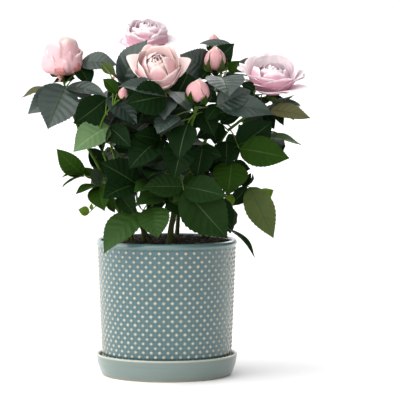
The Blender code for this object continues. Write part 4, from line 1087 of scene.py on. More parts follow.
def make_stem_finish(name, young, old, old_height):
    """Green bark, browner towards the soil, with fine lengthwise relief."""
    finish = Finish(name, 0.7)
    finish.set("Specular IOR Level", 0.15)
    height = finish.axis("Z")
    age = finish.range(height, old_height * MM, SOIL_TOP * MM)
    patches = finish.noise(120.0, 4.0, finish.stretched(1.0, 1.0, 0.35))
    aged = finish.maths("ADD", age, finish.maths("MULTIPLY", patches, 0.5))
    finish.colour(finish.ramp(aged, (0.2, young), (0.95, old)))
    finish.bump(finish.noise(900.0, 3.0, finish.stretched(1.0, 1.0, 0.2)), 0.0002, 0.6)
    return finish.material


def make_leaf_finish(name, rgb, roughness, relief, gloss=0.16):
    """A leaf's surface: its plain colour, a little uneven, with fine relief between the veins."""
    finish = Finish(name, roughness)
    finish.set("Specular IOR Level", gloss)
    finish.colour(finish.mix(finish.noise(55.0), shade(rgb, 0.72), shade(rgb, 1.3)))
    finish.set("Roughness", finish.range(finish.noise(140.0), 0.3, 0.7,
                                         roughness - 0.06, roughness + 0.1))
    finish.bump(finish.noise(650.0, 4.0), relief)
    return finish.material


def make_petal_finish(name, settings, tint, deeper=1.0, pale=0.0):
    """A petal: deep at its foot and far inside, pale to its margin, and stronger on its back."""
    finish = Finish(name, 0.55)
    heart, blush, petal, back, edge = [
        tuple(part * share for part, share in zip(getattr(settings, part_name), tint))
        for part_name in ("heart", "blush", "petal", "back", "edge")]
    back = tuple(one + (two - one) * pale for one, two in zip(back, petal))
    along = finish.attribute("along")
    depth = finish.maths("ADD", finish.maths("MULTIPLY", along, 0.62),
                         finish.maths("MULTIPLY", finish.attribute("layer"), 0.38))
    streaks = finish.maths("SUBTRACT", finish.noise(240.0, 3.0), 0.5)
    mottled = finish.maths("ADD", depth, finish.maths("MULTIPLY", streaks, 0.12))
    mottled = finish.maths("SUBTRACT", mottled, (deeper - 1.0) * 0.3)
    inside = finish.ramp(mottled, (0.15, heart), (0.40, blush), (0.62, petal), (0.88, edge))
    rim = finish.maths("ADD", along, finish.maths("MULTIPLY", streaks, 0.08))
    outside = finish.ramp(rim, (0.2, blush), (0.5, back), (0.86, back), (0.97, edge))
    finish.colour(finish.mix(finish.attribute("back"), inside, outside))
    finish.bump(finish.noise(500.0, 3.0), 0.0002, 0.5)
    finish.set("Subsurface Weight", 0.25)
    finish.set("Subsurface Radius", (0.003, 0.0015, 0.0015))
    return finish.material


def make_backdrop_finish(settings):
    finish = Finish("pale floor", 0.85)
    finish.colour(finish.mix(finish.noise(3.0), shade(settings.floor, 0.99), settings.floor))
    return finish.material


def add_piece(name, mesh, materials, replaced=()):
    """A finished object of the scene that stays with the plant's body."""
    obj = bpy.data.objects.new(name, mesh)
    bpy.context.scene.collection.objects.link(obj)
    for material in materials:
        obj.data.materials.append(material)
    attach(obj, "root")
    if replaced:
        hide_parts(*replaced)
    return obj


def plain_mesh(name, shape):
    mesh = bpy.data.meshes.new(name)
    shape.to_mesh(mesh)
    shape.free()
    return mesh


def to_mesh(name, shape, sharp_angle=None):
    """A mesh with smooth shading, save where its faces meet at more than the given angle."""
    mesh = plain_mesh(name, shape)
    mesh.shade_smooth()
    if sharp_angle is not None:
        mesh.set_sharp_from_angle(angle=math.radians(sharp_angle))
    return mesh


def spun_mesh(name, outline):
    """A turned piece: the outline of (radius, height) spun round, its corners softened."""
    shape = bmesh.new()
    verts = [shape.verts.new((radius * MM, 0.0, height * MM)) for radius, height in outline]
    edges = [shape.edges.new(pair) for pair in zip(verts, verts[1:])]
    bmesh.ops.spin(shape, geom=verts + edges, cent=(0, 0, 0), axis=(0, 0, 1), angle=2 * math.pi,
                   steps=TURNED_STEPS, use_merge=True)
    bmesh.ops.remove_doubles(shape, verts=shape.verts, dist=0.00002)
    bmesh.ops.recalc_face_normals(shape, faces=shape.faces)
    corners = [edge for edge in shape.edges
               if len(edge.link_faces) == 2 and edge.calc_face_angle() > math.radians(25)]
    bmesh.ops.bevel(shape, geom=corners, offset=TURNED_CORNER * MM, segments=3, profile=0.5,
                    affect="EDGES", material=-1, clamp_overlap=True)
    return to_mesh(name, shape, SHARP_WHERE_TURNED)


def pot_radius(height):
    """Outer radius of the pot's wall below its lip."""
    foot = SAUCER_FLOOR + GAP
    share = max(height - foot, 0.0) / (POT_RIM_HEIGHT - POT_LIP_HEIGHT - foot)
    return POT_FOOT_RADIUS + (POT_TOP_RADIUS - POT_FOOT_RADIUS) * share ** 0.85


def pot_outline():
    """The pot's section from its inner floor over the lip and down to its foot."""
    foot = SAUCER_FLOOR + GAP
    lip_foot = POT_RIM_HEIGHT - POT_LIP_HEIGHT
    inner_floor = foot + POT_FLOOR
    outline = [(0.0, inner_floor), (pot_radius(inner_floor) - POT_WALL, inner_floor),
               (pot_radius(95.0) - POT_WALL, 95.0), (POT_RIM_RADIUS - POT_WALL, 134.8),
               (POT_RIM_RADIUS - POT_WALL * 0.5, POT_RIM_HEIGHT),
               (POT_RIM_RADIUS - 0.6, POT_RIM_HEIGHT - 1.3)]
    bulge = 9
    for step in range(bulge + 1):
        share = step / bulge
        height = POT_RIM_HEIGHT - 1.8 - share * (POT_LIP_HEIGHT - 2.6)
        outline.append((POT_RIM_RADIUS - 0.5 + 0.5 * math.sin(math.pi * share), height))
    outline += [(pot_radius(height), height) for height in (lip_foot - 0.4, 110, 95, 75, 50, 30, 9)]
    outline += [(POT_FOOT_RADIUS - 1.6, foot), (0.0, foot)]
    return outline


def saucer_outline():
    wall_foot = SAUCER_BASE_RADIUS - SAUCER_WALL
    return [(0.0, SAUCER_FLOOR), (wall_foot + 0.6, SAUCER_FLOOR),
            (wall_foot + 2.0, SAUCER_FLOOR + 1.5),
            (SAUCER_RIM_RADIUS - SAUCER_WALL, SAUCER_HEIGHT - 0.9),
            (SAUCER_RIM_RADIUS - SAUCER_WALL * 0.5, SAUCER_HEIGHT),
            (SAUCER_RIM_RADIUS, SAUCER_HEIGHT - 1.2),
            (SAUCER_RIM_RADIUS - 0.9, SAUCER_HEIGHT - 5.0),
            (SAUCER_RIM_RADIUS - 1.6, SAUCER_HEIGHT * 0.55),
            (SAUCER_BASE_RADIUS + 1.4, 4.5), (SAUCER_BASE_RADIUS, 1.6),
            (SAUCER_FOOT_RADIUS, 0.0), (0.0, 0.0)]


def dots_mesh(settings):
    """Raised dots in staggered rings round the pot's wall, each a low dome."""
    dome = bmesh.new()
    bmesh.ops.create_uvsphere(dome, u_segments=4, v_segments=6, radius=1.0)
    bmesh.ops.bisect_plane(dome, geom=dome.verts[:] + dome.edges[:] + dome.faces[:],
                           plane_co=(0, 0, -0.3), plane_no=(0, 0, 1), clear_inner=True)
    bmesh.ops.contextual_create(dome, geom=[edge for edge in dome.edges if edge.is_boundary])
    bmesh.ops.recalc_face_normals(dome, faces=dome.faces)
    template = plain_mesh("dot", dome)
    shape = bmesh.new()
    per_ring = settings.dots_per_ring
    rng = random.Random(SEEDS["dots"])
    for row in range(settings.dot_rows):
        height = settings.first_row / MM - row * settings.row_pitch / MM
        radius = pot_radius(height)
        size = settings.dot_size / MM / 2
        for column in range(per_ring):
            start = len(shape.verts)
            shape.from_mesh(template)
            shape.verts.ensure_lookup_table()
            angle = 2 * math.pi * (column + 0.5 * (row % 2)) / per_ring
            grown = size * rng.uniform(0.93, 1.07)
            scale = Matrix.Diagonal((grown, grown * 1.06, settings.dot_relief / MM, 1.0))
            stand = Matrix.Rotation(angle, 4, "Z") @ Matrix.Translation((radius, 0, height))
            stand = stand @ Matrix.Rotation(math.pi / 2, 4, "Y")
            bmesh.ops.transform(shape, matrix=Matrix.Scale(MM, 4) @ stand @ scale,
                                verts=shape.verts[start:])
    bpy.data.meshes.remove(template)
    return to_mesh("pot_dots", shape)


def scattered(name, kind, count, sizes, flat, seed):
    """Crumbs spread over the soil: small rough lumps, chips or scraps, each turned its own way."""
    rng = random.Random(seed)
    shape = bmesh.new()
    reach = POT_RIM_RADIUS - POT_WALL - SOIL_MARGIN
    for _ in range(count):
        if kind == "lump":
            made = bmesh.ops.create_icosphere(shape, subdivisions=1, radius=0.5)["verts"]
        elif kind == "chip":
            made = bmesh.ops.create_cube(shape, size=1.0)["verts"]
        else:
            made = bmesh.ops.create_circle(shape, cap_ends=True, segments=6, radius=0.5)["verts"]
        for vert in made:
            vert.co += vert.co * rng.uniform(-0.25, 0.25)
        size = rng.uniform(*sizes) * MM
        angle = rng.uniform(0, 2 * math.pi)
        radius = reach * math.sqrt(rng.random()) * MM
        sunk = max(radius / MM / reach - SOIL_LEVEL_SHARE, 0.0) * SOIL_FALL
        place = Matrix.Translation((radius * math.cos(angle), radius * math.sin(angle),
                                    (SOIL_TOP - 0.2 - sunk) * MM + size * flat * 0.3))
        turn = Matrix.Rotation(rng.uniform(0, 2 * math.pi), 4, "Z")
        tilt = Matrix.Rotation(rng.uniform(-0.5, 0.5), 4, "X")
        scale = Matrix.Diagonal((size * rng.uniform(0.7, 1.5), size * rng.uniform(0.5, 1.0),
                                 size * flat, 1.0))
        bmesh.ops.transform(shape, matrix=place @ turn @ tilt @ scale, verts=made)
    return to_mesh(name, shape, SHARP_ON_CRUMBS)


def rough_bark(mesh, relief, seed):
    """Fine lumps and lengthwise ridges on a stem."""
    offset = Vector((seed * 3.1, 0, 0))
    moves = []
    for vert in mesh.vertices:
        spot = vert.co / MM
        ridge = noise.noise(Vector((spot.x * 0.9, spot.y * 0.9, spot.z * 0.12)) + offset)
        lump = noise.noise(spot * 0.45 + offset)
        moves.append(vert.normal * (ridge * 0.6 + lump) * relief * MM)
    for vert, move in zip(mesh.vertices, moves):
        vert.co += move


def limb_strand(route, radii, steps, scars):
    """A limb's route and radii at many stations, with a slight swelling at each leaf scar."""
    fine = smooth_route(route, steps)
    lengths = [i / (steps - 1) * (len(radii) - 1) for i in range(steps)]
    fine_radii = []
    for i, part in enumerate(lengths):
        low = min(int(part), len(radii) - 2)
        radius = radii[low] + (radii[low + 1] - radii[low]) * (part - low)
        wave = math.cos(2 * math.pi * scars * i / (steps - 1))
        swell = 1.0 + SCAR_SWELLING * max(wave, 0.0) ** 8
        fine_radii.append(radius * swell * 0.97)
    return fine, fine_radii


def shoot_stems(plant):
    """The shoots' routes with their radii."""
    return [(route, taper(*SHOOTS[name][1:3], STEM_STATIONS))
            for name, route in plant.shoots.items()]


def canes_mesh(plant):
    strands = [limb_strand(route, radii, CANE_STATIONS, CANE_SCARS)
               for route, radii in plant.limbs.values()]
    mesh = tube_mesh("canes", strands, 3)
    rough_bark(mesh, 0.16, SEEDS["cane bark"])
    for vert in mesh.vertices:
        vert.co.z = max(vert.co.z, SOIL_TOP * MM)
    mesh.shade_smooth()
    return mesh


def shoots_mesh(plant):
    strands = [limb_strand(route, radii, SHOOT_STATIONS, SHOOT_SCARS)
               for route, radii in shoot_stems(plant)]
    strands += [limb_strand(route, radii, TWIG_STATIONS, TWIG_SCARS)
                for route, radii in plant.twigs]
    mesh = tube_mesh("green_stems", strands, 2)
    rough_bark(mesh, 0.07, SEEDS["shoot bark"])
    mesh.shade_smooth()
    return mesh


def stalks_mesh(plant, settings):
    """Every leaf's stalk, thicker where it springs and thin at its blades."""
    thick = settings.stalk_width / MM / 2
    radii = taper(thick * 1.25, thick * 0.7, STALK_STATIONS)
    strands = [(smooth_route(route, STALK_STATIONS), radii) for route in plant.stalks]
    mesh = tube_mesh("leaf_stalks", strands, 1)
    mesh.shade_smooth()
    return mesh


def prickles_mesh(plant, settings):
    """Small hooked prickles on the canes and shoots."""
    rng = random.Random(SEEDS["prickles"])
    shape = bmesh.new()
    for route, radii in [*plant.limbs.values(), *shoot_stems(plant)]:
        length = sum(part_lengths(route))
        for step in range(1, int(length / settings.prickle_spacing * MM)):
            share = step * settings.prickle_spacing / MM / length
            point = point_along(route, share)
            along = (point_along(route, min(share + 0.05, 1.0)) - point).normalized()
            radius = radii[0] + (radii[-1] - radii[0]) * share
            out = Matrix.Rotation(rng.uniform(0, 2 * math.pi), 3, along) @ along.orthogonal()
            out = (out.normalized() - along * 0.35).normalized()
            size = settings.prickle_length / MM * rng.uniform(0.6, 1.1)
            made = bmesh.ops.create_cone(shape, cap_ends=True, segments=5, radius1=size * 0.3,
                                         radius2=0.02, depth=size)["verts"]
            place = point + out * (radius * 0.9 + size * 0.35)
            turn = Vector((0, 0, 1)).rotation_difference(out).to_matrix().to_4x4()
            matrix = Matrix.Scale(MM, 4) @ Matrix.Translation(place) @ turn
            bmesh.ops.transform(shape, matrix=matrix, verts=made)
    return to_mesh("prickles", shape)


def blade_template(columns, rows):
    """A flat slab over columns across and rows along, from -1 to 1 and from 0 to 1."""
    shape = bmesh.new()
    bmesh.ops.create_grid(shape, x_segments=len(columns) - 1, y_segments=rows, size=1.0)
    span = len(columns) - 1
    for vert in shape.verts:
        vert.co.x = columns[round((vert.co.x + 1) / 2 * span)]
        vert.co.y = (vert.co.y + 1) / 2
    for face in shape.faces:
        face.normal_update()
        middle = face.calc_center_median().x
        face.material_index = RIB if abs(middle) < 0.05 else TOP
    upper = shape.faces[:]
    grown = bmesh.ops.extrude_face_region(shape, geom=upper)["geom"]
    for item in grown:
        if isinstance(item, bmesh.types.BMVert):
            item.co.z = 1.0
    shape.normal_update()
    for face in shape.faces:
        if face.normal.z < -0.5:
            face.material_index = UNDER
        elif face.normal.z < 0.5:
            face.material_index = TOP
    bmesh.ops.recalc_face_normals(shape, faces=shape.faces)
    return plain_mesh("blade", shape)


def leaf_half(share):
    """Half the width of an ovate blade at a share of its length, 1 at its widest."""
    return max(math.sin(math.pi * share ** 0.85), 0.0) ** (0.62 + 0.45 * share)


def add_blade(shape, template, rows, blade, settings, rng, arch=BLADE_ARCH):
    """One blade laid along its place: folded at the midrib, arched, veined and toothed."""
    base, tip, face, width, tone, _ = blade
    along, upper, across = blade_frame(base, tip, face)
    length = (tip - base).length
    start = len(shape.verts)
    first_face = len(shape.faces)
    shape.from_mesh(template)
    shape.verts.ensure_lookup_table()
    shape.faces.ensure_lookup_table()
    fold = math.tan(settings.fold + rng.uniform(*FOLD_SPREAD))
    wave = rng.uniform(0, 2 * math.pi)
    curl = rng.uniform(*CURL_SPREAD)
    relief = settings.vein_relief / MM * min(length / FULL_RELIEF_LENGTH, 1.0)
    for vert in shape.verts[start:]:
        column, share, level = vert.co
        row = round(share * rows)
        side = abs(column)
        slanted = min(share + VEIN_SLANT * side * share * (1 - share) * 2, 1.0)
        half = leaf_half(slanted) * width * length / 2
        out = half * column
        lift = arch * 4 * slanted * (1 - slanted) * length + fold * abs(out)
        lift -= BLADE_KEEL * length * 0.6
        if 0 < row < rows:
            if side > 0.9:
                out *= 1.0 + (row % 2 * 2 - 1) * settings.teeth
                slanted += (row % 2) * 0.3 / rows
            vein = math.cos(2 * math.pi * row / VEIN_ROWS) * math.sin(math.pi * min(side, 1.0))
            lift -= vein * relief * min(half / (length * 0.2), 1.0)
        lift += math.sin(share * MARGIN_WAVES + wave) * side * length * MARGIN_WAVE_SIZE
        lift -= curl * length * slanted ** 2
        lift -= (1 - level) * settings.leaf_thickness / MM
        vert.co = (base + along * (slanted * length) + across * out + upper * lift) * MM
    offset = SLOTS_EACH * TONE_LETTERS.index(tone)
    for leaf_face in shape.faces[first_face:]:
        leaf_face.material_index += offset


def blades_mesh(name, blades, columns, rows, settings, seed):
    template = blade_template(columns, rows)
    shape = bmesh.new()
    rng = random.Random(seed)
    for blade in blades:
        add_blade(shape, template, rows, blade, settings, rng)
    bpy.data.meshes.remove(template)
    return to_mesh(name, shape, SHARP_ON_LEAVES)


def leaf_materials(settings):
    """Three finishes for each tone: the upper side, the midrib and the underside."""
    materials = []
    for letter, name in LEAF_TONES.items():
        rgb = tuple(getattr(settings, name))
        rough, gloss = TONE_GLOSS.get(letter, LEAF_GLOSS)
        young = letter in YOUNG_TONES
        under = settings.bright_underside if young else settings.dark_underside
        rib = shade(rgb, 1.5) if young else settings.midrib
        materials.append(make_leaf_finish(name, rgb, rough, 0.0003, gloss))
        materials.append(make_leaf_finish(name + "_rib", rib, 0.45, 0.0001))
        materials.append(make_leaf_finish(name + "_under", under, 0.6, 0.0003))
    return materials


def petal_profile(reach, rise, leans):
    """A petal's side view, scaled to the given reach from the axis and rise above its foot."""
    radius = 0.0
    level = 0.0
    profile = [(radius, level)]
    for step in range(PETAL_ROWS):
        share = (step + 0.5) / PETAL_ROWS
        if share < 0.5:
            lean = leans[0] + (leans[1] - leans[0]) * share * 2
        else:
            lean = leans[1] + (leans[2] - leans[1]) * (share - 0.5) * 2
        radius += math.sin(lean)
        level += math.cos(lean)
        profile.append((radius, level))
    widest = max(point[0] for point in profile)
    highest = max(point[1] for point in profile)
    return [(r * reach / widest, z * rise / highest) for r, z in profile]


def petal_template(columns, rows):
    shape = bmesh.new()
    bmesh.ops.create_grid(shape, x_segments=columns, y_segments=rows, size=1.0)
    bmesh.ops.solidify(shape, geom=shape.faces[:], thickness=0.1)
    bmesh.ops.recalc_face_normals(shape, faces=shape.faces)
    return plain_mesh("petal", shape)


def add_petal(shape, template, layers, place, petal):
    """One petal: cupped round the bloom's axis, its margin frilled and rolled out."""
    centre, turn = place
    azimuth, width, profile, layer, frill, roll, tip, rng = petal
    along_layer, depth_layer, back_layer = layers
    start = len(shape.verts)
    shape.from_mesh(template)
    shape.verts.ensure_lookup_table()
    phase = rng.uniform(0, 2 * math.pi)
    waves = rng.choice((3.0, 4.0, 5.0))
    notch = rng.uniform(-0.03, 0.05)
    for vert in shape.verts[start:]:
        across, up, level = vert.co
        across = max(-1.0, min(1.0, across))
        up = max(-1.0, min(1.0, up))
        inside = abs(level) > 0.02
        share = PETAL_ROOT + (1 - PETAL_ROOT) * (up + 1) / 2
        half = width / 2 * (0.14 + 0.86 * math.sin(math.pi * min(share * 0.72, 1.0)))
        reach = share * (1.0 - (0.12 + tip) * across ** 2 - notch * (1 - abs(across)))
        row = reach * PETAL_ROWS
        below = min(int(row), PETAL_ROWS - 1)
        part = row - below
        radius = profile[below][0] * (1 - part) + profile[below + 1][0] * part
        height = profile[below][1] * (1 - part) + profile[below + 1][1] * part
        edge = max(share, abs(across) * 0.9 * share)
        radius += frill * math.sin(waves * across * 1.6 + phase) * edge ** 5
        radius += roll * max(edge - ROLL_FROM, 0.0) ** 1.5 * 6
        height -= roll * max(edge - DROOP_FROM, 0.0) ** 1.5 * 5
        if inside:
            radius -= PETAL_SHEET
        angle = azimuth + across * half / max(radius, width * 0.30)
        point = Vector((radius * math.cos(angle), radius * math.sin(angle), height))
        vert.co = (centre + turn @ point) * MM
        vert[along_layer] = edge
        vert[depth_layer] = layer
        vert[back_layer] = 0.0 if inside else 1.0


def bloom_place(row):
    centre = seen(*row[0])
    axis = Vector(row[1]).normalized()
    return centre, Vector((0, 0, 1)).rotation_difference(axis)


def petal_layers(shape):
    """How near its margin a point of a petal is, how far out its petal is, and whether it is on
    the petal's back."""
    return tuple(shape.verts.layers.float.new(name) for name in ("along", "layer", "back"))


def petal_leans(opened):
    """How far a petal leans out at its foot, its middle and its tip, from the way it has opened."""
    return math.radians(82), math.radians(-4 + 62 * opened), math.radians(-48 + 150 * opened)


def petals_done(name, shape, template):
    bpy.data.meshes.remove(template)
    bmesh.ops.recalc_face_normals(shape, faces=shape.faces)
    return to_mesh(name, shape, SHARP_ON_PETALS)


def bloom_mesh(name, foot, settings, seed):
    """A bloom's petals: a spiral of upright ones, and the outer ones round it."""
    axis, (count, reach, rise, opened, ruffle, tip), petals = BLOOM_PETALS[name]
    frill = settings.frill / MM * ruffle
    roll = settings.roll / MM
    template = petal_template(*BLOOM_GRID)
    shape = bmesh.new()
    layers = petal_layers(shape)
    rng = random.Random(seed)
    place = bloom_place((foot, axis))
    for index in range(count):
        share = (index + 1) / count
        spread = opened * share ** 1.3
        profile = petal_profile(reach * (0.12 + 0.88 * share ** 0.9),
                                rise * (1.0 - 0.08 * share) * rng.uniform(0.95, 1.02),
                                petal_leans(spread))
        add_petal(shape, template, layers, place,
                  (GOLDEN_ANGLE * index + seed + rng.uniform(-0.2, 0.2),
                   reach * (0.65 + 0.8 * share), profile, share * 0.7, frill * share ** 2,
                   roll * spread, tip * share, rng))
    add_outer_petals(shape, template, layers, place, (petals, frill, roll, tip), rng)
    return petals_done(name + "_petals", shape, template)


def add_outer_petals(shape, template, layers, place, outer, rng):
    petals, frill, roll, tip = outer
    for bearing, spread, reach, rise, wide in petals:
        profile = petal_profile(reach, rise, petal_leans(spread))
        add_petal(shape, template, layers, place,
                  (math.radians(bearing), wide, profile, 1.0, frill * (0.5 + spread),
                   roll * spread, tip, rng))


def faded_mesh(settings):
    """Old petals, faded to salmon, under a bloom."""
    template = petal_template(*FADED_GRID)
    shape = bmesh.new()
    layers = petal_layers(shape)
    rng = random.Random(SEEDS["faded"])
    for foot, axis, petals in FADED_PETALS:
        add_outer_petals(shape, template, layers, bloom_place((foot, axis)),
                         (petals, settings.frill / MM * 3, settings.roll / MM, 0.5), rng)
    return petals_done("faded_petals", shape, template)


def bud_mesh(name, row, settings, seed):
    """A bud: petals wrapped tightly round each other and drawn to a point."""
    place = bloom_place(row)
    radius, height = row[2:4]
    template = petal_template(*BUD_GRID)
    shape = bmesh.new()
    layers = petal_layers(shape)
    rng = random.Random(seed)
    for index in range(BUD_PETALS):
        share = (index + 1) / BUD_PETALS
        leans = (math.radians(68), math.radians(-4), math.radians(-78 + 10 * share))
        profile = petal_profile(radius * (0.55 + 0.42 * share), height * (0.98 - 0.07 * share), leans)
        azimuth = GOLDEN_ANGLE * index + seed
        wide = radius * 2.5
        add_petal(shape, template, layers, place,
                  (azimuth, wide, profile, 0.3 + 0.7 * share, settings.frill / MM * 0.1, 0.0,
                   0.34, rng))
    return petals_done(name, shape, template)


def add_hip(shape, place, radius, height):
    """The green swelling below a bloom."""
    centre, turn = place
    made = bmesh.ops.create_uvsphere(shape, u_segments=12, v_segments=8, radius=1.0)["verts"]
    for vert in made:
        level = vert.co.z
        slim = 1.0 - 0.3 * max(-level, 0.0)
        local = Vector((vert.co.x * radius * slim, vert.co.y * radius * slim, level * height / 2))
        vert.co = (centre + turn @ local) * MM


def sepals_mesh(settings):
    """The hips and sepals of all blooms and buds."""
    template = blade_template(COARSE_COLUMNS, COARSE_ROWS)
    shape = bmesh.new()
    rng = random.Random(SEEDS["sepals"])
    up = Vector((0, 0, 1.0))
    calyxes = [((row[0], BLOOM_PETALS[name][0]), 2.0, row[2], row[3], SEPALS, 0.16)
               for name, row in BLOOMS.items()]
    calyxes += [(row, row[2] * 0.3, row[2] * 1.08, row[3] * 0.5, row[4], 0.20)
                for row in BUDS.values()]
    for row, foot, reach, rise, count, arch in calyxes:
        centre, turn = bloom_place(row)
        for index in range(count):
            angle = 2 * math.pi * index / count + 0.3
            out = Vector((math.cos(angle), math.sin(angle), 0))
            base = centre + turn @ (out * foot - up * 0.6)
            tip = centre + turn @ (out * reach + up * (rise * rng.uniform(0.85, 1.1) - 1.0))
            blade = Blade(base, tip, turn @ (out - up), SEPAL_WIDTH, rng.choice("ggo"), False)
            add_blade(shape, template, COARSE_ROWS, blade, settings, rng, arch)
    bpy.data.meshes.remove(template)
    for row in BLOOMS.values():
        add_hip(shape, bloom_place(row), *BLOOM_HIP)
    for row in BUDS.values():
        add_hip(shape, bloom_place(row), row[2] * 0.36, row[3] * 0.26)
    return to_mesh("sepals", shape, SHARP_ON_LEAVES)


def colour_setting(name, description, default):
    return FloatVectorProperty(name=name, description=description, default=default,
                               subtype="COLOR", size=3, min=0.0, max=1.0)


def length_setting(name, description, millimetres):
    return FloatProperty(name=name, description=description, default=millimetres * MM,
                         subtype="DISTANCE", unit="LENGTH", min=0.0)


class RosePotSettings(bpy.types.PropertyGroup):
    """Sizes and colours of the pot and its dots."""
    glaze: colour_setting("Glaze", "Colour of the pot's glaze", (0.047, 0.112, 0.122))
    lip_glaze: colour_setting("Lip glaze", "Thinner glaze on the lip", (0.092, 0.163, 0.154))
    dot_colour: colour_setting("Dots", "Colour of the raised dots", (0.396, 0.396, 0.317))
    dots_per_ring: IntProperty(name="Dots a ring", description="Dots in each ring round the pot",
                               default=49, min=12, max=90)
    dot_rows: IntProperty(name="Rings", description="Rings of dots from the lip down",
                          default=25, min=1, max=30)
    row_pitch: length_setting("Ring pitch", "Height from one ring of dots to the next", 4.45)
    first_row: length_setting("First ring", "Height of the topmost ring of dots", 126.75)
    dot_size: length_setting("Dot size", "Width of a dot", 3.7)
    dot_relief: length_setting("Dot relief", "How far a dot stands out", 0.8)


class RoseSaucerSettings(bpy.types.PropertyGroup):
    """Colours of the saucer."""
    glaze: colour_setting("Glaze", "Colour of the saucer's glaze", (0.152, 0.198, 0.180))
    worn_edge: colour_setting("Worn edge", "Colour of the saucer's rim", (0.387, 0.378, 0.317))
    bare_clay: colour_setting("Bare clay", "Colour of the foot, where no glaze is",
                              (0.396, 0.317, 0.238))


class RoseSoilSettings(bpy.types.PropertyGroup):
    """The potting soil and what lies on it."""
    soil: colour_setting("Soil", "Colour of the moist soil", (0.016, 0.011, 0.007))
    crumbs: IntProperty(name="Crumbs", description="Lumps of peat on the soil", default=900,
                        min=0, max=2000)
    chips: IntProperty(name="Bark chips", description="Chips of bark on the soil", default=160,
                       min=0, max=600)
    scraps: IntProperty(name="Leaf scraps", description="Scraps of dry leaf on the soil",
                        default=60, min=0, max=300)


class RoseStemSettings(bpy.types.PropertyGroup):
    """Canes, green stems, leaf stalks and prickles."""
    old_bark: colour_setting("Old bark", "Bark near the soil", (0.030, 0.040, 0.007))
    green_bark: colour_setting("Green bark", "Bark of the upper canes", (0.044, 0.092, 0.007))
    stalk: colour_setting("Stalks", "Colour of the leaf stalks", (0.088, 0.150, 0.026))
    stalk_width: length_setting("Stalk width", "Thickness of a leaf's stalk", 1.3)
    prickle_length: length_setting("Prickles", "Length of a prickle", 3.0)
    prickle_spacing: length_setting("Prickle spacing", "Stem length from one to the next", 13.0)


class RoseLeafSettings(bpy.types.PropertyGroup):
    """Shape and colours of the leaves."""
    fold: FloatProperty(name="Fold", description="How far a blade folds at its midrib",
                        default=math.radians(14), subtype="ANGLE", unit="ROTATION")
    teeth: FloatProperty(name="Teeth", description="Depth of the teeth as a share of the width",
                         default=0.026, min=0.0, max=0.2)
    vein_relief: length_setting("Vein relief", "Height of the ridges between the veins", 0.6)
    leaf_thickness: length_setting("Thickness", "Thickness of a blade", 0.35)
    dark: colour_setting("Dark", "Shaded leaves", (0.004, 0.014, 0.003))
    deep: colour_setting("Deep", "Deep green leaves", (0.009, 0.025, 0.005))
    medium: colour_setting("Medium", "Leaves in open light", (0.021, 0.054, 0.009))
    fresh: colour_setting("Fresh", "Younger leaves", (0.014, 0.038, 0.003))
    sage: colour_setting("Sage", "The youngest leaves", (0.088, 0.150, 0.062))
    sheen: colour_setting("Sheen", "Dark leaves that shine bluish", (0.019, 0.036, 0.027))
    olive: colour_setting("Olive", "Ageing leaves", (0.051, 0.072, 0.018))
    brown_olive: colour_setting("Brown olive", "Old leaves", (0.088, 0.088, 0.037))
    bright: colour_setting("Bright", "Leaves with light behind them", (0.079, 0.141, 0.011))
    midrib: colour_setting("Midrib", "Midribs of the dark leaves", (0.024, 0.044, 0.011))
    dark_underside: colour_setting("Underside", "Undersides of dark leaves", (0.018, 0.032, 0.014))
    bright_underside: colour_setting("Fresh underside", "Undersides of young leaves",
                                     (0.066, 0.123, 0.018))


class RoseBloomSettings(bpy.types.PropertyGroup):
    """Petals of the blooms and buds."""
    petal: colour_setting("Petal", "Main colour of a petal", (0.792, 0.625, 0.686))
    heart: colour_setting("Heart", "Colour deep inside a bloom", (0.669, 0.194, 0.246))
    blush: colour_setting("Blush", "Colour of the folds", (0.739, 0.387, 0.466))
    back: colour_setting("Back", "Colour of a petal's back", (0.634, 0.334, 0.422))
    edge: colour_setting("Edge", "Colour of a petal's margin", (0.845, 0.775, 0.790))
    pink: colour_setting("Pink tint", "What the open pink blooms are multiplied by", (1.0, 1.0, 1.0))
    warm: colour_setting("Warm tint", "What makes the peachy blooms warmer", (0.92, 0.80, 0.74))
    faded: colour_setting("Faded tint", "What makes old petals salmon", (0.80, 0.56, 0.42))
    bud: colour_setting("Bud tint", "What makes the buds' petals deeper", (0.92, 0.90, 0.74))
    frill: length_setting("Frill", "Waviness of the margins", 0.9)
    roll: length_setting("Roll", "How far the margins roll out", 3.0)


class RoseStageSettings(bpy.types.PropertyGroup):
    """Floor and light."""
    floor: colour_setting("Floor", "Colour of the floor", (0.95, 0.95, 0.945))
    floor_size: length_setting("Floor", "Half the floor's width", 60000.0)
    key: FloatProperty(name="Key light", description="Strength of the main light", default=1.7,
                       min=0.0)
    fill: FloatProperty(name="Fill light", description="Strength of the fill lights", default=0.7,
                        min=0.0)
    sky: FloatProperty(name="Surrounding light", description="Strength of the light all round",
                       default=0.95, min=0.0)


PLANT_STORE = {}


def plant():
    """The grown plant, which every operator shares."""
    if "plant" not in PLANT_STORE:
        PLANT_STORE["plant"] = grow_plant()
    return PLANT_STORE["plant"]


class ROSE_OT_pot(bpy.types.Operator):
    """Adds the glazed pot with its raised dots"""
    bl_idname = "rose.pot"
    bl_label = "Pot"

    def execute(self, context):
        settings = context.scene.rose_pot
        mesh = spun_mesh("glazed_pot", pot_outline())
        add_piece("glazed_pot", mesh, [make_pot_glaze(settings)], ["pot"])
        add_piece("pot_dots", dots_mesh(settings), [make_dot_glaze(settings)])
        return {"FINISHED"}


class ROSE_OT_saucer(bpy.types.Operator):
    """Adds the glazed saucer"""
    bl_idname = "rose.saucer"
    bl_label = "Saucer"

    def execute(self, context):
        mesh = spun_mesh("glazed_saucer", saucer_outline())
        add_piece("glazed_saucer", mesh, [make_saucer_glaze(context.scene.rose_saucer)], ["saucer"])
        return {"FINISHED"}


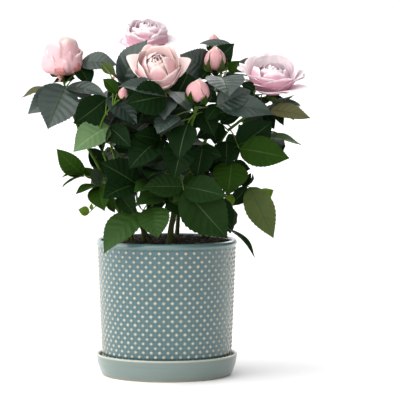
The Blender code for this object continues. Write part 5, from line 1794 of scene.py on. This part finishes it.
class ROSE_OT_soil(bpy.types.Operator):
    """Gives the soil its finish and strews crumbs, bark chips and leaf scraps on it"""
    bl_idname = "rose.soil"
    bl_label = "Soil"

    def execute(self, context):
        settings = context.scene.rose_soil
        dark = tuple(settings.soil)
        soil = NODES["soil"]
        soil.data.materials.clear()
        soil.data.materials.append(make_grain("moist soil", shade(dark, 2.0), shade(dark, 0.5), 300))
        crumbs = scattered("soil_crumbs", "lump", settings.crumbs, (1.2, 3.6), 0.7, SEEDS["crumbs"])
        add_piece("soil_crumbs", crumbs, [make_grain("peat crumbs", shade(dark, 2.4), dark, 420)])
        chips = scattered("bark_chips", "chip", settings.chips, (1.8, 4.6), 0.35, SEEDS["chips"])
        add_piece("bark_chips", chips,
                  [make_grain("bark chips", *CHIP_COLOURS, 300)])
        scraps = scattered("leaf_scraps", "scrap", settings.scraps, (2.5, 6.0), 0.3, SEEDS["scraps"])
        solid = add_piece("leaf_scraps", scraps,
                          [make_grain("dry leaf scraps", *SCRAP_COLOURS, 260)])
        wall = solid.modifiers.new("sheet", "SOLIDIFY")
        wall.thickness = 0.0003
        return {"FINISHED"}


class ROSE_OT_stems(bpy.types.Operator):
    """Adds the canes, green stems, leaf stalks and prickles"""
    bl_idname = "rose.stems"
    bl_label = "Stems"

    def execute(self, context):
        settings = context.scene.rose_stems
        green = tuple(settings.green_bark)
        bark = make_stem_finish("cane bark", green, tuple(settings.old_bark), CANE_AGE_HEIGHT)
        add_piece("canes", canes_mesh(plant()), [bark], list(LIMBS))
        young = make_stem_finish("green stem bark", shade(green, 1.15), green,
                                 SHOOT_AGE_HEIGHT)
        add_piece("green_stems", shoots_mesh(plant()), [young], list(SHOOTS))
        stalk = make_stem_finish("leaf stalk", tuple(settings.stalk), shade(settings.stalk, 0.8),
                                 STALK_AGE_HEIGHT)
        add_piece("leaf_stalks", stalks_mesh(plant(), settings), [stalk])
        prickle = make_grain("prickles", *PRICKLE_COLOURS, 300, 0.5)
        add_piece("prickles", prickles_mesh(plant(), settings), [prickle])
        return {"FINISHED"}


def in_open_view(blade):
    """Whether a blade of the rule stands where the trunk or the sky shows."""
    places = [front_view(blade.base.lerp(blade.tip, step / 4)) for step in range(5)]
    return any(left < across < right and low < height < high
               for left, right, low, high in OPEN_VIEWS for across, height in places)


def past_reach(blade):
    """Whether a blade of the rule goes further back than the solids' crown."""
    return blade.tip.y > CAD_BOX[1][1] / MM + REACH_SPARE


class ROSE_OT_leaves(bpy.types.Operator):
    """Adds the leaf blades, the front ones finer"""
    bl_idname = "rose.leaves"
    bl_label = "Leaves"

    def execute(self, context):
        settings = context.scene.rose_leaves
        materials = leaf_materials(settings)
        shown = [blade for blade in plant().blades if blade.shown]
        others = [blade for blade in plant().blades
                  if not (blade.shown or in_open_view(blade) or past_reach(blade))]
        fine = blades_mesh("front_leaves", shown, FINE_COLUMNS, FINE_ROWS, settings,
                           SEEDS["front leaves"])
        add_piece("front_leaves", fine, materials)
        coarse = blades_mesh("crown_leaves", others, COARSE_COLUMNS, COARSE_ROWS, settings,
                             SEEDS["crown leaves"])
        add_piece("crown_leaves", coarse, materials)
        return {"FINISHED"}


class ROSE_OT_blooms(bpy.types.Operator):
    """Adds the petals of the four blooms"""
    bl_idname = "rose.blooms"
    bl_label = "Blooms"

    def execute(self, context):
        settings = context.scene.rose_blooms
        pink = make_petal_finish("pink petal", settings, tuple(settings.pink))
        peachy = make_petal_finish("peachy petal", settings, tuple(settings.warm), pale=0.55)
        for index, (name, row) in enumerate(BLOOMS.items()):
            mesh = bloom_mesh(name, row[0], settings, SEEDS["blooms"] + index)
            add_piece(name + "_petals", mesh, [peachy if name in WARM_BLOOMS else pink], [name])
        faded = make_petal_finish("faded petal", settings, tuple(settings.faded), 1.3)
        add_piece("faded_petals", faded_mesh(settings), [faded])
        return {"FINISHED"}


class ROSE_OT_buds(bpy.types.Operator):
    """Adds the petals of the buds, and the sepals and hips of all flowers"""
    bl_idname = "rose.buds"
    bl_label = "Buds"

    def execute(self, context):
        settings = context.scene.rose_blooms
        finish = make_petal_finish("bud petal", settings, tuple(settings.bud), 1.4)
        for index, (name, row) in enumerate(BUDS.items()):
            mesh = bud_mesh(name + "_petals", row, settings, SEEDS["buds"] + index)
            add_piece(name + "_petals", mesh, [finish], [name])
        leaves = context.scene.rose_leaves
        add_piece("sepals", sepals_mesh(leaves), leaf_materials(leaves))
        return {"FINISHED"}


class ROSE_OT_stage(bpy.types.Operator):
    """Adds the pale floor, the soft light and the camera"""
    bl_idname = "rose.stage"
    bl_label = "Stage"

    def execute(self, context):
        settings = context.scene.rose_stage
        shape = bmesh.new()
        bmesh.ops.create_grid(shape, x_segments=1, y_segments=1, size=settings.floor_size)
        floor = bpy.data.objects.new("floor", to_mesh("floor", shape))
        floor.data.materials.append(make_backdrop_finish(settings))
        context.scene.collection.objects.link(floor)
        for name, place, softness, power in LIGHTS:
            self.add_light(context, name, place, softness, getattr(settings, power))
        self.add_sky(context, settings)
        context.scene.view_settings.view_transform = "Standard"
        self.add_camera(context)
        return {"FINISHED"}

    def add_sky(self, context, settings):
        """A sky that is white just above the floor, dimmer overhead, and brighter at the left."""
        world = bpy.data.worlds.new("soft sky")
        world.use_nodes = True
        tree = world.node_tree
        place = tree.nodes.new("ShaderNodeTexCoord").outputs["Generated"]
        split = tree.nodes.new("ShaderNodeSeparateXYZ")
        tree.links.new(place, split.inputs["Vector"])
        fade = self.ranged(tree, split.outputs["Z"], (0.08, 0.35, 1.12, settings.sky))
        side = self.ranged(tree, split.outputs["X"], (-0.8, 0.8, 2.0, 0.0))
        both = tree.nodes.new("ShaderNodeMath")
        both.operation = "MULTIPLY"
        tree.links.new(fade, both.inputs[0])
        tree.links.new(side, both.inputs[1])
        sky = tree.nodes["Background"]
        sky.inputs["Color"].default_value = (1.0, 1.0, 1.0, 1.0)
        tree.links.new(both.outputs["Value"], sky.inputs["Strength"])
        context.scene.world = world

    def ranged(self, tree, value, limits):
        """The value brought from one range into another, given as the ends of both."""
        node = tree.nodes.new("ShaderNodeMapRange")
        tree.links.new(value, node.inputs["Value"])
        for name, limit in zip(("From Min", "From Max", "To Min", "To Max"), limits):
            node.inputs[name].default_value = limit
        return node.outputs["Result"]

    def add_light(self, context, name, place, softness, power):
        data = bpy.data.lights.new(name, "SUN")
        data.angle = math.radians(softness)
        data.energy = power
        light = bpy.data.objects.new(name, data)
        light.location = place
        aim = Vector((0, 0, LIGHT_AIM_HEIGHT * MM)) - Vector(place)
        light.rotation_euler = aim.to_track_quat("-Z", "Y").to_euler()
        context.scene.collection.objects.link(light)

    def add_camera(self, context):
        data = bpy.data.cameras.new("camera")
        data.lens = CAMERA_LENS
        data.sensor_width = CAMERA_SENSOR
        camera = bpy.data.objects.new("camera", data)
        place = Vector((EYE_ACROSS * MM, -EYE_DISTANCE * MM, EYE_HEIGHT * MM))
        aim = Vector((EYE_ACROSS * MM, 0.0, CAMERA_AIM_HEIGHT * MM)) - place
        camera.location = place
        camera.rotation_euler = aim.to_track_quat("-Z", "Y").to_euler()
        context.scene.collection.objects.link(camera)
        context.scene.camera = camera


class ROSE_PT_panel(bpy.types.Panel):
    """Lists the pieces in the order in which they are made"""
    bl_label = "Potted rose"
    bl_idname = "ROSE_PT_panel"
    bl_space_type = "VIEW_3D"
    bl_region_type = "UI"
    bl_category = "Rose"

    def draw(self, context):
        for operator in OPERATORS:
            self.layout.operator(operator.bl_idname)


OPERATORS = (ROSE_OT_pot, ROSE_OT_saucer, ROSE_OT_soil, ROSE_OT_stems, ROSE_OT_leaves,
             ROSE_OT_blooms, ROSE_OT_buds, ROSE_OT_stage)
SETTINGS = {
    "rose_pot": RosePotSettings,
    "rose_saucer": RoseSaucerSettings,
    "rose_soil": RoseSoilSettings,
    "rose_stems": RoseStemSettings,
    "rose_leaves": RoseLeafSettings,
    "rose_blooms": RoseBloomSettings,
    "rose_stage": RoseStageSettings,
}


def register():
    for kind in (*SETTINGS.values(), *OPERATORS, ROSE_PT_panel):
        bpy.utils.register_class(kind)
    for name, kind in SETTINGS.items():
        setattr(bpy.types.Scene, name, PointerProperty(type=kind))


def unregister():
    for name in SETTINGS:
        delattr(bpy.types.Scene, name)
    for kind in reversed((*SETTINGS.values(), *OPERATORS, ROSE_PT_panel)):
        bpy.utils.unregister_class(kind)


def main():
    register()
    bpy.ops.rose.pot()
    bpy.ops.rose.saucer()
    bpy.ops.rose.soil()
    bpy.ops.rose.stems()
    bpy.ops.rose.leaves()
    bpy.ops.rose.blooms()
    bpy.ops.rose.buds()
    bpy.ops.rose.stage()


if __name__ == "__main__":
    main()
